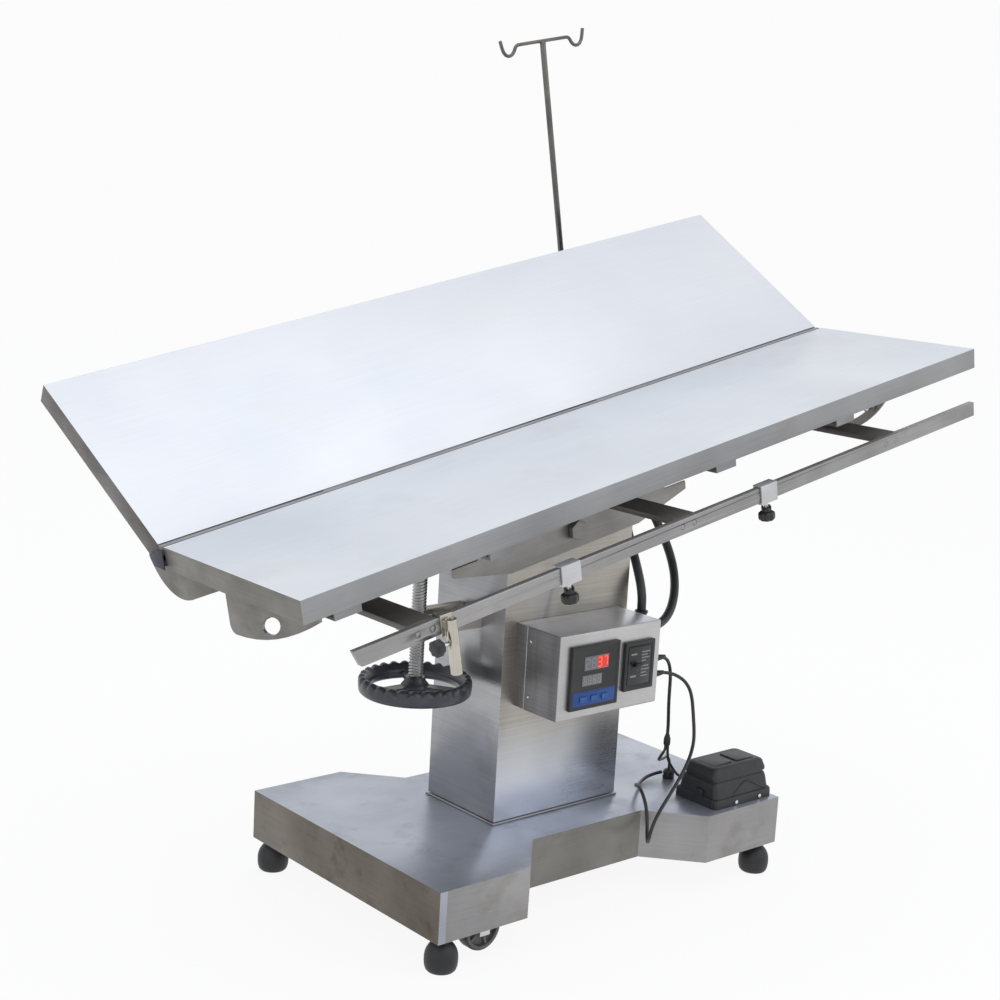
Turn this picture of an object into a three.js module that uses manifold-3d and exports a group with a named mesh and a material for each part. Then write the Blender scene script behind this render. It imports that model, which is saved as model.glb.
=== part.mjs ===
// Veterinary operating table: H base, electric lift column, hand-cranked tilt, two-wing V top.
// Millimetres, +Z up, the long side of the top along X, the control box at the front (-Y).

import * as THREE from 'three';
import { mergeVertices } from 'three/addons/utils/BufferGeometryUtils.js';
import Module from 'manifold-3d';

const wasm = await Module();
wasm.setup();

const degree = Math.PI / 180;
const sides = [-1, 1];

// Fits
const seatGap = 0.3;
const runningGap = 0.4;
const through = 1;

// Base shell
const baseLength = 692;
const baseWidth = 462;
const baseClearance = 50;
const baseHeight = 76;
const baseSheet = 2.5;
const endBlockLength = 162;
const notchRun = 72;
const notchDepth = 77;
const cornerPlateSize = 60;
const cornerPlateThickness = 4;

// Feet
const footFromEnd = 24;
const footFromSide = 21;
const footRadius = 24;
const footStemRadius = 6;
const footStemLength = 18;

// Casters
const casterFromEnd = 97;
const casterFromSide = 30;
const wheelRadius = 32;
const wheelWidth = 22;
const wheelLift = 10;
const axleRadius = 4;
const wheelHubRadius = 9;
const wheelRimDepth = 8;
const wheelSpokes = 5;
const casterSheet = 3;
const casterCheekLength = 18;
const casterPlateLength = 44;

// Lift column
const sleeveLength = 250;
const sleeveWidth = 158;
const sleeveWall = 3;
const sleeveFloorGap = 1;
const flangeRim = 3;
const flangeThickness = 2.7;
const sleeveGap = 4;
const innerWall = 4;
const innerSleeveHeight = 371;
const guideHeight = 30;
const guideFromTop = 6;

// Lift actuator
const actuatorRadius = 30;
const actuatorAbove = 311;
const actuatorFloorGap = 8;
const actuatorCollar = 14;
const collarThickness = 8;
const gearboxLength = 90;
const gearboxWidth = 80;
const gearboxHeight = 52;
const motorRadius = 26;
const motorLength = 105;
const rodRadius = 15.6;
const rodFloorGap = 17;
const boreFloorGap = 12;

// Tilt pivot
const pinBelowTop = 6;
const pinRadius = 10;
const pinNutRadius = 16;
const pinNutThickness = 9;
const lugRadius = 22;
const headGap = 22;
const headDrop = 46;
const headPlate = 8;
const bearingRadius = 20;
const headWebThickness = 10;

// Saddle
const saddleSheet = 4;
const saddleSideGap = 1.2;
const saddleBodyHalf = 190;
const saddleTailHalf = 236;
const saddleTailTop = 10;
const saddleTailLow = -3;
const saddleBottom = -29;
const saddleBottomHalf = 130;

// Place and angle of the top over the pivot pin
const restTilt = 11.5;
const tiltUp = 15.5;
const topShift = 15;
const topRise = 152;

// Wings
const panLength = 1300;
const panWidth = 311;
const panDepth = 31;
const panSheet = 2;
const panChamfer = 12;
const hingeGap = 16.4;
const backWingRest = 35;
const wingTravel = 40;
const braceOne = 64;
const braceTwo = 305;
const braceThree = 720;
const braceFour = 980;
const braceWidth = 40;
const braceDrop = 10;
const braceInset = 4;
const boardEndInset = 32;
const boardInner = 24;
const boardOuterInset = 19;
const boardDrop = 5;
const boardThickness = 12;

// Wing hinge
const hingePinRadius = 1.2;
const knuckleRadius = 2.2;
const hingeOffset = 5.6;
const hingeDrop = 2.6;
const knuckleCount = 5;
const knuckleGap = 0.6;

// Spine and backbone
const spineThickness = 6;
const spineDepth = 20;
const spineWebInset = 90;
const backboneDrop = 62.3;
const backboneHeight = 24.7;
const backboneWidth = 60;
const backboneInset = 50;
const backboneSheet = 3;

// End plates, lock sectors and locks
const endPlateThickness = 4;
const endPlateInset = 18;
const plateGap = 1;
const neckHalf = 6;
const plateTopGap = 2.5;
const lobeRadius = 77;
const lobeSlope = 22;
const sectorInset = 12;
const slotRadius = 160;
const lockAngle = 45;
const sectorMargin = 20;
const lockBoltRadius = 5;
const lockNutThickness = 6;
const lockHubRadius = 12;
const lockHubLength = 12;
const lockHandleRadius = 4;
const lockHandleLength = 50;
const lockArmHalf = 14;

// Grip ear under the left end of the front wing
const earInner = 107;
const earDepth = 101;
const earHoleWidth = 36;
const earHoleHeight = 25;
const earHoleAcross = 207;
const earHoleDepth = 68;

// Side rails
const railDrop = 72;
const railHeight = 22;
const railThickness = 10;
const railAcross = 340;
const railLeftInset = 44;
const railRightInset = 46;
const railMitre = 9;
const armLeft = 150;
const armMid = 607;
const armRight = 1046;
const armNames = ['rail_arm_left', 'rail_arm_mid', 'rail_arm_right'];
const armWidth = 40;
const armThickness = 8;
const armFlange = 20;
const screwSpacing = 23;
const screwRadius = 4;
const stopRadius = 9;
const stopAcross = 150;
const backRailStart = 940;
const backRailLength = 220;
const backArmInset = 30;

// Rail clamps
const clampLeft = 387;
const clampRight = 768;
const railClampLength = 33;
const railClampSheet = 2.5;
const clampStemRadius = 3;
const clampKnobRadius = 12;
const clampKnobHeight = 13;
const clampCollarRadius = 8;
const clampCollarHeight = 9;
const clampStemShown = 6;

// Pole clamps and drip pole
const frontPole = 180;
const backPole = 1048;
const hookHalf = 9;
const hookSheet = 3;
const hookLip = 12;
const socketRadius = 7.5;
const socketTop = -73;
const socketLength = 72;
const socketOut = 12;
const poleRadius = 5;
const poleFit = 0.3;
const poleTop = 515;
const poleFootGap = 5;
const hookWireRadius = 3;
const hookBarHalf = 60;
const hookReach = 94;
const hookDrop = 16;
const hookTipRise = 11;
const poleKnobRadius = 11;
const poleKnobLength = 15;
const poleKnobDrop = 103;
const poleScrewRadius = 3;
const poleScrewLength = 11;

// Tilt screw
const screwReach = 219.3;
const screwRise = 45.7;
const tiltScrewRadius = 11;
const threadPitch = 14;
const threadDepth = 1.6;
const screwNeckRadius = 8;
const screwNeckLength = 18;
const yokeHalf = 13;
const yokeHeight = 34;
const yokePinRadius = 6;
const clevisGap = 1;
const clevisSheet = 6;
const clevisRadius = 12;
const nutHalf = 16;
const nutHeight = 14;
const nutFromSleeveTop = 140;
const trunnionRadius = 5;
const forkGap = 2;
const forkSheet = 8;
const forkHeight = 30;
const forkEnd = 14;
const slotPlay = 1.2;

// Handwheel
const wheelDiameter = 168;
const gripRadius = 9.5;
const gripHeight = 30;
const gripRipples = 16;
const rippleDepth = 1.6;
const handwheelDrop = 229;
const handwheelHubRadius = 22;
const handwheelHubHeight = 24;
const handwheelSpokes = 3;
const handwheelSpokeWidth = 18;
const handwheelSpokeHeight = 9;

// Control box
const boxLength = 205;
const boxHeight = 128;
const boxDepth = 93;
const boxSheet = 2;
const boxShift = 1.5;
const boxAboveSleeveFoot = 179;
const controllerSize = 96;
const controllerBody = 90;
const controllerDepth = 60;
const controllerAcross = -34.5;
const controllerUp = -2;
const bezelDepth = 6;
const cutOutGap = 0.5;
const displayLength = 74;
const displayHeight = 25;
const displayUp = 20;
const lowDisplayLength = 48;
const lowDisplayHeight = 15;
const lowDisplayUp = -7;
const displayDepth = 1.5;
const keyCount = 3;
const keyLength = 13;
const keyHeight = 8;
const keySpacing = 22;
const keyUp = -33;
const keyProud = 1.2;
const keyDepth = 3;
const keyTravel = 1;
const breakerLength = 61;
const breakerHeight = 75;
const breakerBodyInset = 4;
const breakerDepth = 55;
const breakerAcross = 56.1;
const breakerUp = 1;
const windowLength = 46;
const windowHeight = 54;
const windowDepth = 2;
const toggleWidth = 14;
const toggleRadius = 6;
const toggleOut = 9;
const toggleLever = 5;
const toggleWell = 17;
const toggleRest = 18;

// Cable and hose outlets on the right of the control box
const outletLength = 12;
const cableRadius = 2.7;
const strandRadius = 2.25;
const hoseRadius = 7;
const outletWall = 3.5;
const elbowReach = 32;
const elbowUp = 39;
const elbowHeight = 19.2;

// Gland in the base top
const glandRadius = 10;
const glandHeight = 16;
const glandNeckRadius = 6;
const glandNeckLength = 14;
const glandFromEnd = 90;
const glandY = -72;

// Foot switch
const pedalFromEnd = 71;
const pedalFromSide = 56;
const pedalLength = 130;
const pedalWidth = 90;
const pedalFlange = 6;
const pedalHeight = 63;
const pedalTopLength = 114;
const pedalTopWidth = 58;
const pedalSeam = 42;
const lidGap = 3.4;
const lidEdge = 8;
const lidAxis = 36;
const lidPinRadius = 2.5;
const lidPinHalf = 26;
const lidHubHalf = 5;
const lidHubWidth = 40;
const lidPlay = 1.5;
const pedalOutletAcross = -47;
const pedalOutletUp = 24;
const pedalOutletRadius = 5;
const pedalOutletLength = 2;

// Cable joiner
const joinerRadius = 5.5;
const joinerLength = 18;
const joinerFoot = 2;
const joinerNeck = 5;

// Colours from the photo
const pale = { color: 0xdfe3e6, roughness: 0.32, metalness: 0.75 };
const brushed = { color: 0xa9a9a8, roughness: 0.38, metalness: 0.85 };
const baseSteel = { color: 0xb4b9bf, roughness: 0.4, metalness: 0.85 };
const shadedSteel = { color: 0x6b6a68, roughness: 0.45, metalness: 0.8 };
const bright = { color: 0xc6c8ca, roughness: 0.25, metalness: 0.95 };
const black = { color: 0x1b1c1e, roughness: 0.5, metalness: 0 };
const rubberBlack = { color: 0x161718, roughness: 0.7, metalness: 0 };
const wheelGrey = { color: 0x77787a, roughness: 0.6, metalness: 0 };
const hoseGrey = { color: 0x3b3d40, roughness: 0.55, metalness: 0 };
const keyBlue = { color: 0x2b63a8, roughness: 0.5, metalness: 0 };

// Heights that follow from the sizes above
const baseTop = baseClearance + baseHeight;
const flangeBottom = baseTop + seatGap;
const flangeTop = flangeBottom + flangeThickness;
const sleeveFoot = flangeTop + sleeveFloorGap;
const headBottom = flangeTop + innerSleeveHeight + headGap;
const pinHeight = headBottom + headDrop;
const sleeveTop = pinHeight + pinBelowTop;
const panInner = hingeGap / 2;
const panOuter = panInner + panWidth;
const panHalf = panLength / 2;
const boardBottom = -panDepth - boardDrop;
const backboneBottom = -backboneDrop - backboneHeight;
const saddleTop = topRise + backboneBottom - seatGap;
const railBottom = -railDrop - railHeight;
const railOuter = railAcross + railThickness;
const endPlateX = panHalf - endPlateInset;
const sectorX = panHalf - sectorInset;
const boxBack = -sleeveWidth / 2 - seatGap;
const boxFront = boxBack - boxDepth;
const panelFront = boxFront - seatGap - boxSheet;
const boxMiddle = sleeveFoot + boxAboveSleeveFoot + boxHeight / 2;
const outletFace = boxShift + boxLength / 2 + outletLength + runningGap;
const elbowX = boxShift + boxLength / 2 + elbowReach;
const glandX = baseLength / 2 - glandFromEnd;
const pedalX = baseLength / 2 - pedalFromEnd;
const pedalY = pedalFromSide - baseWidth / 2;

// Places along the top, measured from the left end of the wings
const braceSpots = [braceOne, braceTwo, braceThree, braceFour].map((spot) => spot - panHalf);
const armSpots = [armLeft, armMid, armRight].map((spot) => spot - panHalf);
const railClampSpots = [clampLeft, clampRight].map((spot) => spot - panHalf);
const backRailLeft = backRailStart - panHalf;
const backRailRight = backRailLeft + backRailLength;
const backArmSpots = [backRailLeft + backArmInset, backRailRight - backArmInset];
const frontPoleSpot = frontPole - panHalf;
const backPoleSpot = backPole - panHalf;

// Upper pivot of the tilt screw, seen from the pivot pin, for a top tilted by the given angle
function screwPivot(angle) {
  const cos = Math.cos(angle * degree);
  const sin = Math.sin(angle * degree);
  return { x: -screwReach * cos - screwRise * sin, z: pinHeight - screwReach * sin + screwRise * cos };
}
const screwTop = screwPivot(restTilt);
const screwTopRaised = screwPivot(restTilt - tiltUp);
const nutMiddle = sleeveTop - nutFromSleeveTop;
const handwheelMiddle = screwTop.z - handwheelDrop;

// Routes of cables and hoses, from the outlet to the far end
const liftRoute = [
  [outletFace, -160, 372], [128.3, -159.8, 371.1], [138.8, -158.6, 365.8], [146.8, -156.6, 357.1],
  [152.7, -154, 347], [157.4, -151.2, 336.4], [161.5, -148.1, 325.6], [165.4, -144.6, 314.8],
  [169.5, -140.9, 304.1], [173.9, -136.9, 293.8], [178.8, -132.6, 283.7], [184.1, -128, 274],
  [189.6, -123.4, 264.4], [195, -118.9, 254.7], [199.8, -115, 244.5], [202.9, -112.5, 233.2],
  [203.5, -112, 221.3],
];
const glandRoute = [
  [200.8, -112, 202.6], [200.4, -111.6, 196], [198, -106, 184], [207, -94, 173], [228, -84, 168],
  [246, -76, 165], [255, -72.5, 156], [glandX, glandY, baseTop + glandHeight + runningGap],
];
const pedalRoute = [
  [206.2, -112, 202.6], [206.7, -111.8, 195], [214, -108, 176], [225, -109, 159], [228, -117, 151],
  [pedalX + pedalOutletAcross, pedalY + pedalWidth / 2 + pedalOutletLength + runningGap,
    baseTop + pedalOutletUp],
];
const supplyRoute = [
  [outletFace, -160, 347], [132.5, -160.2, 346.2], [148.1, -161.3, 342.6], [162.8, -163, 336.2],
  [175.6, -165.4, 326.9], [184.7, -168.3, 314], [188.6, -171.4, 298.7], [189.2, -174.6, 283],
  [188.6, -178.2, 267.3], [187, -182.3, 251.8], [183.2, -186.8, 236.8], [175.9, -191.2, 223.2],
  [166, -195.4, 211.2], [154.7, -199.2, 200.5], [142.7, -202.5, 190.2], [130.4, -205.3, 180.1],
  [118.1, -207.8, 170.1], [105.7, -210.2, 160.1], [93.5, -212.5, 149.8], [82.4, -214.4, 138.4],
  [74.6, -214.8, 124.4], [74.4, -211.1, 109], [81.4, -202.7, 97.5], [91.8, -191.3, 93.3],
  [102, -180, 97.8], [109, -171.9, 109.6], [112, -166.6, 124.5], [113.5, -160.4, 139.2],
  [116.6, -149.9, 150.8], [123, -136.1, 155.6], [131.6, -122.6, 154], [141.3, -110.9, 148.8],
  [151.8, -100.7, 142.2], [163.2, -91.1, 136.1], [175.7, -81.9, 131.8], [188.9, -72.9, 129.9],
  [203, -65.2, 130], [218.2, -60.2, 131.3], [234.1, -60.1, 133.2], [glandX - 7.7, glandY + 8.9, baseTop + 9],
];
const frontHoseRoute = [
  [outletFace, -130, 412], [139.3, -129.6, 412.7], [161.1, -126.3, 418.7], [179.8, -119.4, 430.2],
  [195.2, -110, 444.4], [207.8, -98.8, 460], [217.3, -86.5, 476.8], [223.1, -73.6, 494.9], [224.8, -61, 514],
  [222.4, -49.5, pinHeight - 34.3], [217.3, -39.2, pinHeight - 14.4], [211.1, -30.2, pinHeight + 5.8],
  [205, -22.5, pinHeight + 26.6], [199.5, -16.6, pinHeight + 48.1], [194.8, -13, pinHeight + 70.3],
  [190.6, -11.4, pinHeight + 92.9], [186.7, -11, pinHeight + 115.5],
];
const backHoseRoute = [
  [elbowX, -100, boxMiddle + elbowUp + elbowHeight + 2 * runningGap],
  [136.2, -98.8, 450.9], [137, -93.6, 469], [138.3, -85.5, 486.1], [140.3, -75.9, 502.2],
  [142.7, -65.5, 517.9], [145.6, -54.9, pinHeight - 34.7],
  [149, -44.5, pinHeight - 19.2], [152.8, -34.7, pinHeight - 3.5], [157, -25.6, pinHeight + 12.6],
  [161.7, -17.4, pinHeight + 29], [166.9, -10.2, pinHeight + 45.9], [172.7, -4, pinHeight + 63],
  [178.9, 1.5, pinHeight + 80.4], [185.3, 6.4, pinHeight + 97.9], [191.8, 11, pinHeight + 115.5],
];

// Closed solid from a three.js geometry, faces outward
function solidOf(geometry) {
  geometry.deleteAttribute('normal');
  geometry.deleteAttribute('uv');
  const welded = mergeVertices(geometry, 1e-4);
  const position = welded.getAttribute('position');
  const faces = [];
  let volume = 0;
  const corner = [new THREE.Vector3(), new THREE.Vector3(), new THREE.Vector3()];
  for (let i = 0; i < welded.index.count; i += 3) {
    const face = [0, 1, 2].map((k) => welded.index.getX(i + k));
    if (new Set(face).size < 3) continue;
    face.forEach((vertex, k) => corner[k].fromBufferAttribute(position, vertex));
    volume += corner[0].dot(corner[1].clone().cross(corner[2]));
    faces.push(face);
  }
  const outward = volume < 0 ? faces.map(([a, b, c]) => [a, c, b]) : faces;
  return new wasm.Manifold(new wasm.Mesh({
    numProp: 3,
    vertProperties: new Float32Array(position.array),
    triVerts: new Uint32Array(outward.flat()),
  }));
}

function join(...solids) {
  return solids.reduce((whole, piece) => whole.add(piece));
}

function cut(solid, ...tools) {
  return tools.reduce((rest, tool) => rest.subtract(tool), solid);
}

// Box from three [from, to] spans, in either order
function box(x, y, z) {
  const geometry = new THREE.BoxGeometry(
    Math.abs(x[1] - x[0]), Math.abs(y[1] - y[0]), Math.abs(z[1] - z[0]));
  geometry.translate((x[0] + x[1]) / 2, (y[0] + y[1]) / 2, (z[0] + z[1]) / 2);
  return solidOf(geometry);
}

function block(length, width, bottom, top) {
  return box([-length / 2, length / 2], [-width / 2, width / 2], [bottom, top]);
}

function cylinder(radius, length, count) {
  return new THREE.CylinderGeometry(radius, radius, length, count);
}

function rodX(radius, y, z, from, to, count = 12) {
  const geometry = cylinder(radius, Math.abs(to - from), count);
  geometry.rotateZ(Math.PI / 2);
  geometry.translate((from + to) / 2, y, z);
  return solidOf(geometry);
}

function rodY(radius, x, z, from, to, count = 12) {
  const geometry = cylinder(radius, Math.abs(to - from), count);
  geometry.translate(x, (from + to) / 2, z);
  return solidOf(geometry);
}

function rodZ(radius, x, y, from, to, count = 12) {
  const geometry = cylinder(radius, Math.abs(to - from), count);
  geometry.rotateX(Math.PI / 2);
  geometry.translate(x, y, (from + to) / 2);
  return solidOf(geometry);
}

function outline(points) {
  return new THREE.Shape(points.map(([x, y]) => new THREE.Vector2(x, y)));
}

function extrude(shape, depth) {
  return new THREE.ExtrudeGeometry(shape, { depth, bevelEnabled: false, curveSegments: 8 });
}

// Prisms of an outline in XY, XZ or YZ, from one level to the other
function prismZ(shape, from, to) {
  const geometry = extrude(shape, to - from);
  geometry.translate(0, 0, from);
  return solidOf(geometry);
}

function prismY(shape, from, to) {
  const geometry = extrude(shape, to - from);
  geometry.rotateX(Math.PI / 2);
  geometry.translate(0, to, 0);
  return solidOf(geometry);
}

const turnToX = new THREE.Matrix4().set(0, 0, 1, 0, 1, 0, 0, 0, 0, 1, 0, 0, 0, 0, 0, 1);
function prismX(shape, from, to) {
  const geometry = extrude(shape, to - from);
  geometry.applyMatrix4(turnToX);
  geometry.translate(from, 0, 0);
  return solidOf(geometry);
}

// Turned piece about Z from [radius, height] points
function turned(points, count = 14) {
  const geometry = new THREE.LatheGeometry(points.map(([r, z]) => new THREE.Vector2(r, z)), count);
  geometry.rotateX(Math.PI / 2);
  return solidOf(geometry);
}

function circleShape(radius, count) {
  const points = [];
  for (let i = 0; i < count; i += 1) {
    const angle = 2 * Math.PI * i / count;
    points.push([radius * Math.cos(angle), radius * Math.sin(angle)]);
  }
  return outline(points);
}

function tubeAlong(points, radius, count, steps) {
  const path = new THREE.CatmullRomCurve3(points.map(([x, y, z]) => new THREE.Vector3(x, y, z)));
  return solidOf(new THREE.ExtrudeGeometry(circleShape(radius, count), {
    steps,
    extrudePath: path,
    bevelEnabled: false,
  }));
}

// Hand knob with finger lobes, outline about the origin
function lobedShape(radius, lobes) {
  const wave = 0.07;
  const points = [];
  const count = lobes * 4;
  for (let i = 0; i < count; i += 1) {
    const angle = 2 * Math.PI * i / count;
    const reach = radius * (1 - wave + wave * Math.cos(lobes * angle));
    points.push([reach * Math.cos(angle), reach * Math.sin(angle)]);
  }
  return outline(points);
}

function frame(parent, x, y, z) {
  const group = new THREE.Group();
  group.position.set(x, y, z);
  parent.add(group);
  return group;
}

function add(parent, name, finish, solid) {
  const shared = solid.getMesh();
  const geometry = new THREE.BufferGeometry();
  geometry.setAttribute('position', new THREE.BufferAttribute(new Float32Array(shared.vertProperties), 3));
  geometry.setIndex(new THREE.BufferAttribute(new Uint32Array(shared.triVerts), 1));
  geometry.computeVertexNormals();
  const mesh = new THREE.Mesh(geometry, new THREE.MeshStandardMaterial(finish));
  mesh.name = name;
  parent.add(mesh);
}

const table = new THREE.Group();

// Base shell: H plan, folded sheet, open below
function baseOutline(inset) {
  const slope = Math.atan2(notchDepth, notchRun);
  const endX = baseLength / 2 - inset;
  const endY = baseWidth / 2 - inset;
  const waistY = endY - notchDepth;
  const blockX = baseLength / 2 - endBlockLength + inset * Math.tan(slope / 2);
  const waistX = blockX - notchRun;
  const quarter = [[endX, endY], [blockX, endY], [waistX, waistY]];
  const half = [...quarter, ...quarter.toReversed().map(([x, y]) => [-x, y])];
  return outline([...half, ...half.toReversed().map(([x, y]) => [x, -y])]);
}

const footSpots = sides.flatMap((sx) => sides.map((sy) => [
  sx * (baseLength / 2 - footFromEnd), sy * (baseWidth / 2 - footFromSide)]));

function cornerPlate([x, y]) {
  const span = (side, size) => [side * (size / 2 - cornerPlateSize), side * (size - baseSheet) / 2];
  return box(span(Math.sign(x), baseLength), span(Math.sign(y), baseWidth),
    [baseClearance, baseClearance + cornerPlateThickness]);
}

function footHole([x, y]) {
  return rodZ(footStemRadius + seatGap, x, y, baseClearance - through,
    baseClearance + cornerPlateThickness + through, 12);
}

function baseShell() {
  const outside = prismZ(baseOutline(0), baseClearance, baseTop);
  const inside = prismZ(baseOutline(baseSheet), baseClearance - through, baseTop - baseSheet);
  const shell = join(cut(outside, inside), ...footSpots.map(cornerPlate));
  const actuatorHole = rodZ(actuatorRadius + runningGap, 0, 0, baseTop - baseSheet - through,
    baseTop + through, 20);
  const glandHole = rodZ(glandNeckRadius + seatGap, glandX, glandY, baseTop - baseSheet - through,
    baseTop + through);
  return cut(shell, actuatorHole, glandHole, ...footSpots.map(footHole));
}

// Ball foot with its stem, standing on the floor
function foot() {
  const seat = baseClearance - seatGap;
  return turned([
    [0, 0], [0.7 * footRadius, 0], [0.94 * footRadius, 0.16 * seat], [footRadius, 0.4 * seat],
    [0.92 * footRadius, 0.64 * seat], [0.62 * footRadius, 0.85 * seat], [0.45 * footRadius, 0.9 * seat],
    [0.45 * footRadius, seat], [footStemRadius, seat], [footStemRadius, seat + footStemLength],
    [0, seat + footStemLength],
  ], 12);
}

add(table, 'base_shell', baseSteel, baseShell());
footSpots.forEach(([x, y], i) => add(frame(table, x, y, 0), `foot_${i + 1}`, rubberBlack, foot()));

// Casters under the left end block, each in its own frame at the floor
const axleHeight = wheelLift + wheelRadius;
const cheekInner = wheelWidth / 2 + plateGap;

function casterBracket() {
  const top = baseTop - baseSheet - seatGap;
  const span = (length) => [-length / 2, length / 2];
  const outer = cheekInner + casterSheet;
  const plate = box(span(casterPlateLength), [-outer, outer], [top - casterSheet, top]);
  const cheeks = sides.map((side) => box(span(casterCheekLength), [side * cheekInner, side * outer],
    [axleHeight - 2 * axleRadius, top]));
  const axle = rodY(axleRadius, 0, axleHeight, -outer, outer, 14);
  return join(plate, ...cheeks, axle);
}

function casterWheel() {
  const half = wheelWidth / 2;
  const inner = wheelRadius - wheelRimDepth;
  const edge = 2;
  const rim = turned([[inner, -half], [wheelRadius - edge, -half], [wheelRadius, -half + 2 * edge],
    [wheelRadius, half - 2 * edge], [wheelRadius - edge, half], [inner, half], [inner, -half]], 16);
  const hub = rodZ(wheelHubRadius, 0, 0, -half, half, 12);
  const spokes = [];
  for (let i = 0; i < wheelSpokes; i += 1) {
    const geometry = new THREE.BoxGeometry(inner + edge, wheelHubRadius / 2, wheelWidth / 2);
    geometry.translate((inner + edge) / 2, 0, 0);
    geometry.rotateZ(2 * Math.PI * i / wheelSpokes);
    spokes.push(solidOf(geometry));
  }
  const bore = rodZ(axleRadius + seatGap, 0, 0, -wheelWidth, wheelWidth, 10);
  return cut(join(rim, hub, ...spokes), bore);
}

sides.forEach((side) => {
  const name = side < 0 ? 'front' : 'back';
  const spot = frame(table, -baseLength / 2 + casterFromEnd, side * (baseWidth / 2 - casterFromSide), 0);
  add(spot, `caster_bracket_${name}`, bright, casterBracket());
  const axle = frame(spot, 0, 0, axleHeight);
  axle.rotation.x = Math.PI / 2;
  axle.name = `caster_axle_${name}`;
  add(axle, `caster_wheel_${name}`, wheelGrey, casterWheel());
});

// Lift column: fixed inner sleeve on its flange, outer sleeve that rides up over it
function innerSleeve() {
  const length = sleeveLength - 2 * (sleeveWall + sleeveGap);
  const width = sleeveWidth - 2 * (sleeveWall + sleeveGap);
  const top = flangeTop + innerSleeveHeight;
  const flange = block(sleeveLength + 2 * flangeRim, sleeveWidth + 2 * flangeRim, flangeBottom, flangeTop);
  const wall = block(length, width, flangeBottom, top);
  const guideTop = top - guideFromTop;
  const guide = block(sleeveLength - 2 * (sleeveWall + seatGap), sleeveWidth - 2 * (sleeveWall + seatGap),
    guideTop - guideHeight, guideTop);
  const inside = block(length - 2 * innerWall, width - 2 * innerWall, flangeTop, top + through);
  const hole = rodZ(actuatorRadius + runningGap, 0, 0, flangeBottom - through, flangeTop + through, 20);
  return cut(join(flange, wall, guide), inside, hole);
}

// Fork on the left wall that holds the trunnions of the tilt nut in slots along X
function forkArm(side) {
  const inner = side * (nutHalf + forkGap);
  const outer = side * (nutHalf + forkGap + forkSheet);
  const tip = screwTop.x - trunnionRadius - slotPlay - forkEnd;
  const arm = box([tip, -(sleeveLength - sleeveWall) / 2], [inner, outer],
    [nutMiddle - forkHeight / 2, nutMiddle + forkHeight / 2]);
  const half = trunnionRadius + slotPlay;
  const slot = box([screwTop.x - half, screwTopRaised.x + half], [inner - side, outer + side],
    [nutMiddle - half, nutMiddle + half]);
  return cut(arm, slot);
}

function outerSleeve() {
  const walls = cut(
    block(sleeveLength, sleeveWidth, sleeveFoot, sleeveTop),
    block(sleeveLength - 2 * sleeveWall, sleeveWidth - 2 * sleeveWall, sleeveFoot - through,
      sleeveTop + through));
  const lugs = sides.map((side) => rodY(lugRadius, 0, pinHeight,
    side * (sleeveWidth / 2 - sleeveWall), side * sleeveWidth / 2, 20));
  const pinHole = rodY(pinRadius + seatGap, 0, pinHeight, -sleeveWidth, sleeveWidth, 14);
  return cut(join(walls, ...lugs, ...sides.map(forkArm)), pinHole);
}

function actuatorBody() {
  const bottom = baseClearance + actuatorFloorGap;
  const tube = rodZ(actuatorRadius, 0, 0, bottom, flangeTop + actuatorAbove, 16);
  const collar = rodZ(actuatorRadius + actuatorCollar, 0, 0, flangeTop + seatGap,
    flangeTop + seatGap + collarThickness, 16);
  const gearbox = block(gearboxLength, gearboxWidth, bottom, bottom + gearboxHeight);
  const motor = rodX(motorRadius, 0, bottom + gearboxHeight / 2, 0, gearboxLength / 2 + motorLength, 14);
  const bore = rodZ(rodRadius + runningGap, 0, 0, bottom + boreFloorGap,
    flangeTop + actuatorAbove + through, 16);
  return cut(join(tube, collar, gearbox, motor), bore);
}

function actuatorRod() {
  return rodZ(rodRadius, 0, 0, baseClearance + actuatorFloorGap + rodFloorGap, headBottom - seatGap, 16);
}

// Head inside the sleeve: plate on the rod, two webs, bearing tube for the pivot pin
function pivotHead() {
  const length = sleeveLength - 2 * (sleeveWall + seatGap);
  const width = sleeveWidth - 2 * (sleeveWall + seatGap);
  const plate = block(length, width, headBottom, headBottom + headPlate);
  const bearing = rodY(bearingRadius, 0, pinHeight, -width / 2, width / 2, 20);
  const webs = sides.map((side) => box([-bearingRadius, bearingRadius],
    [side * (width / 2 - headWebThickness), side * width / 2], [headBottom, pinHeight]));
  const bore = rodY(pinRadius + seatGap, 0, pinHeight, -sleeveWidth, sleeveWidth, 14);
  return cut(join(plate, bearing, ...webs), bore);
}

add(table, 'inner_sleeve', brushed, innerSleeve());
add(table, 'outer_sleeve', brushed, outerSleeve());
add(table, 'actuator_body', shadedSteel, actuatorBody());
add(table, 'actuator_rod', bright, actuatorRod());
add(table, 'pivot_head', shadedSteel, pivotHead());

// Control box on the front of the outer sleeve, in a frame at the middle of its front panel
const panel = frame(table, boxShift, 0, boxMiddle);
panel.name = 'panel';

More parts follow.
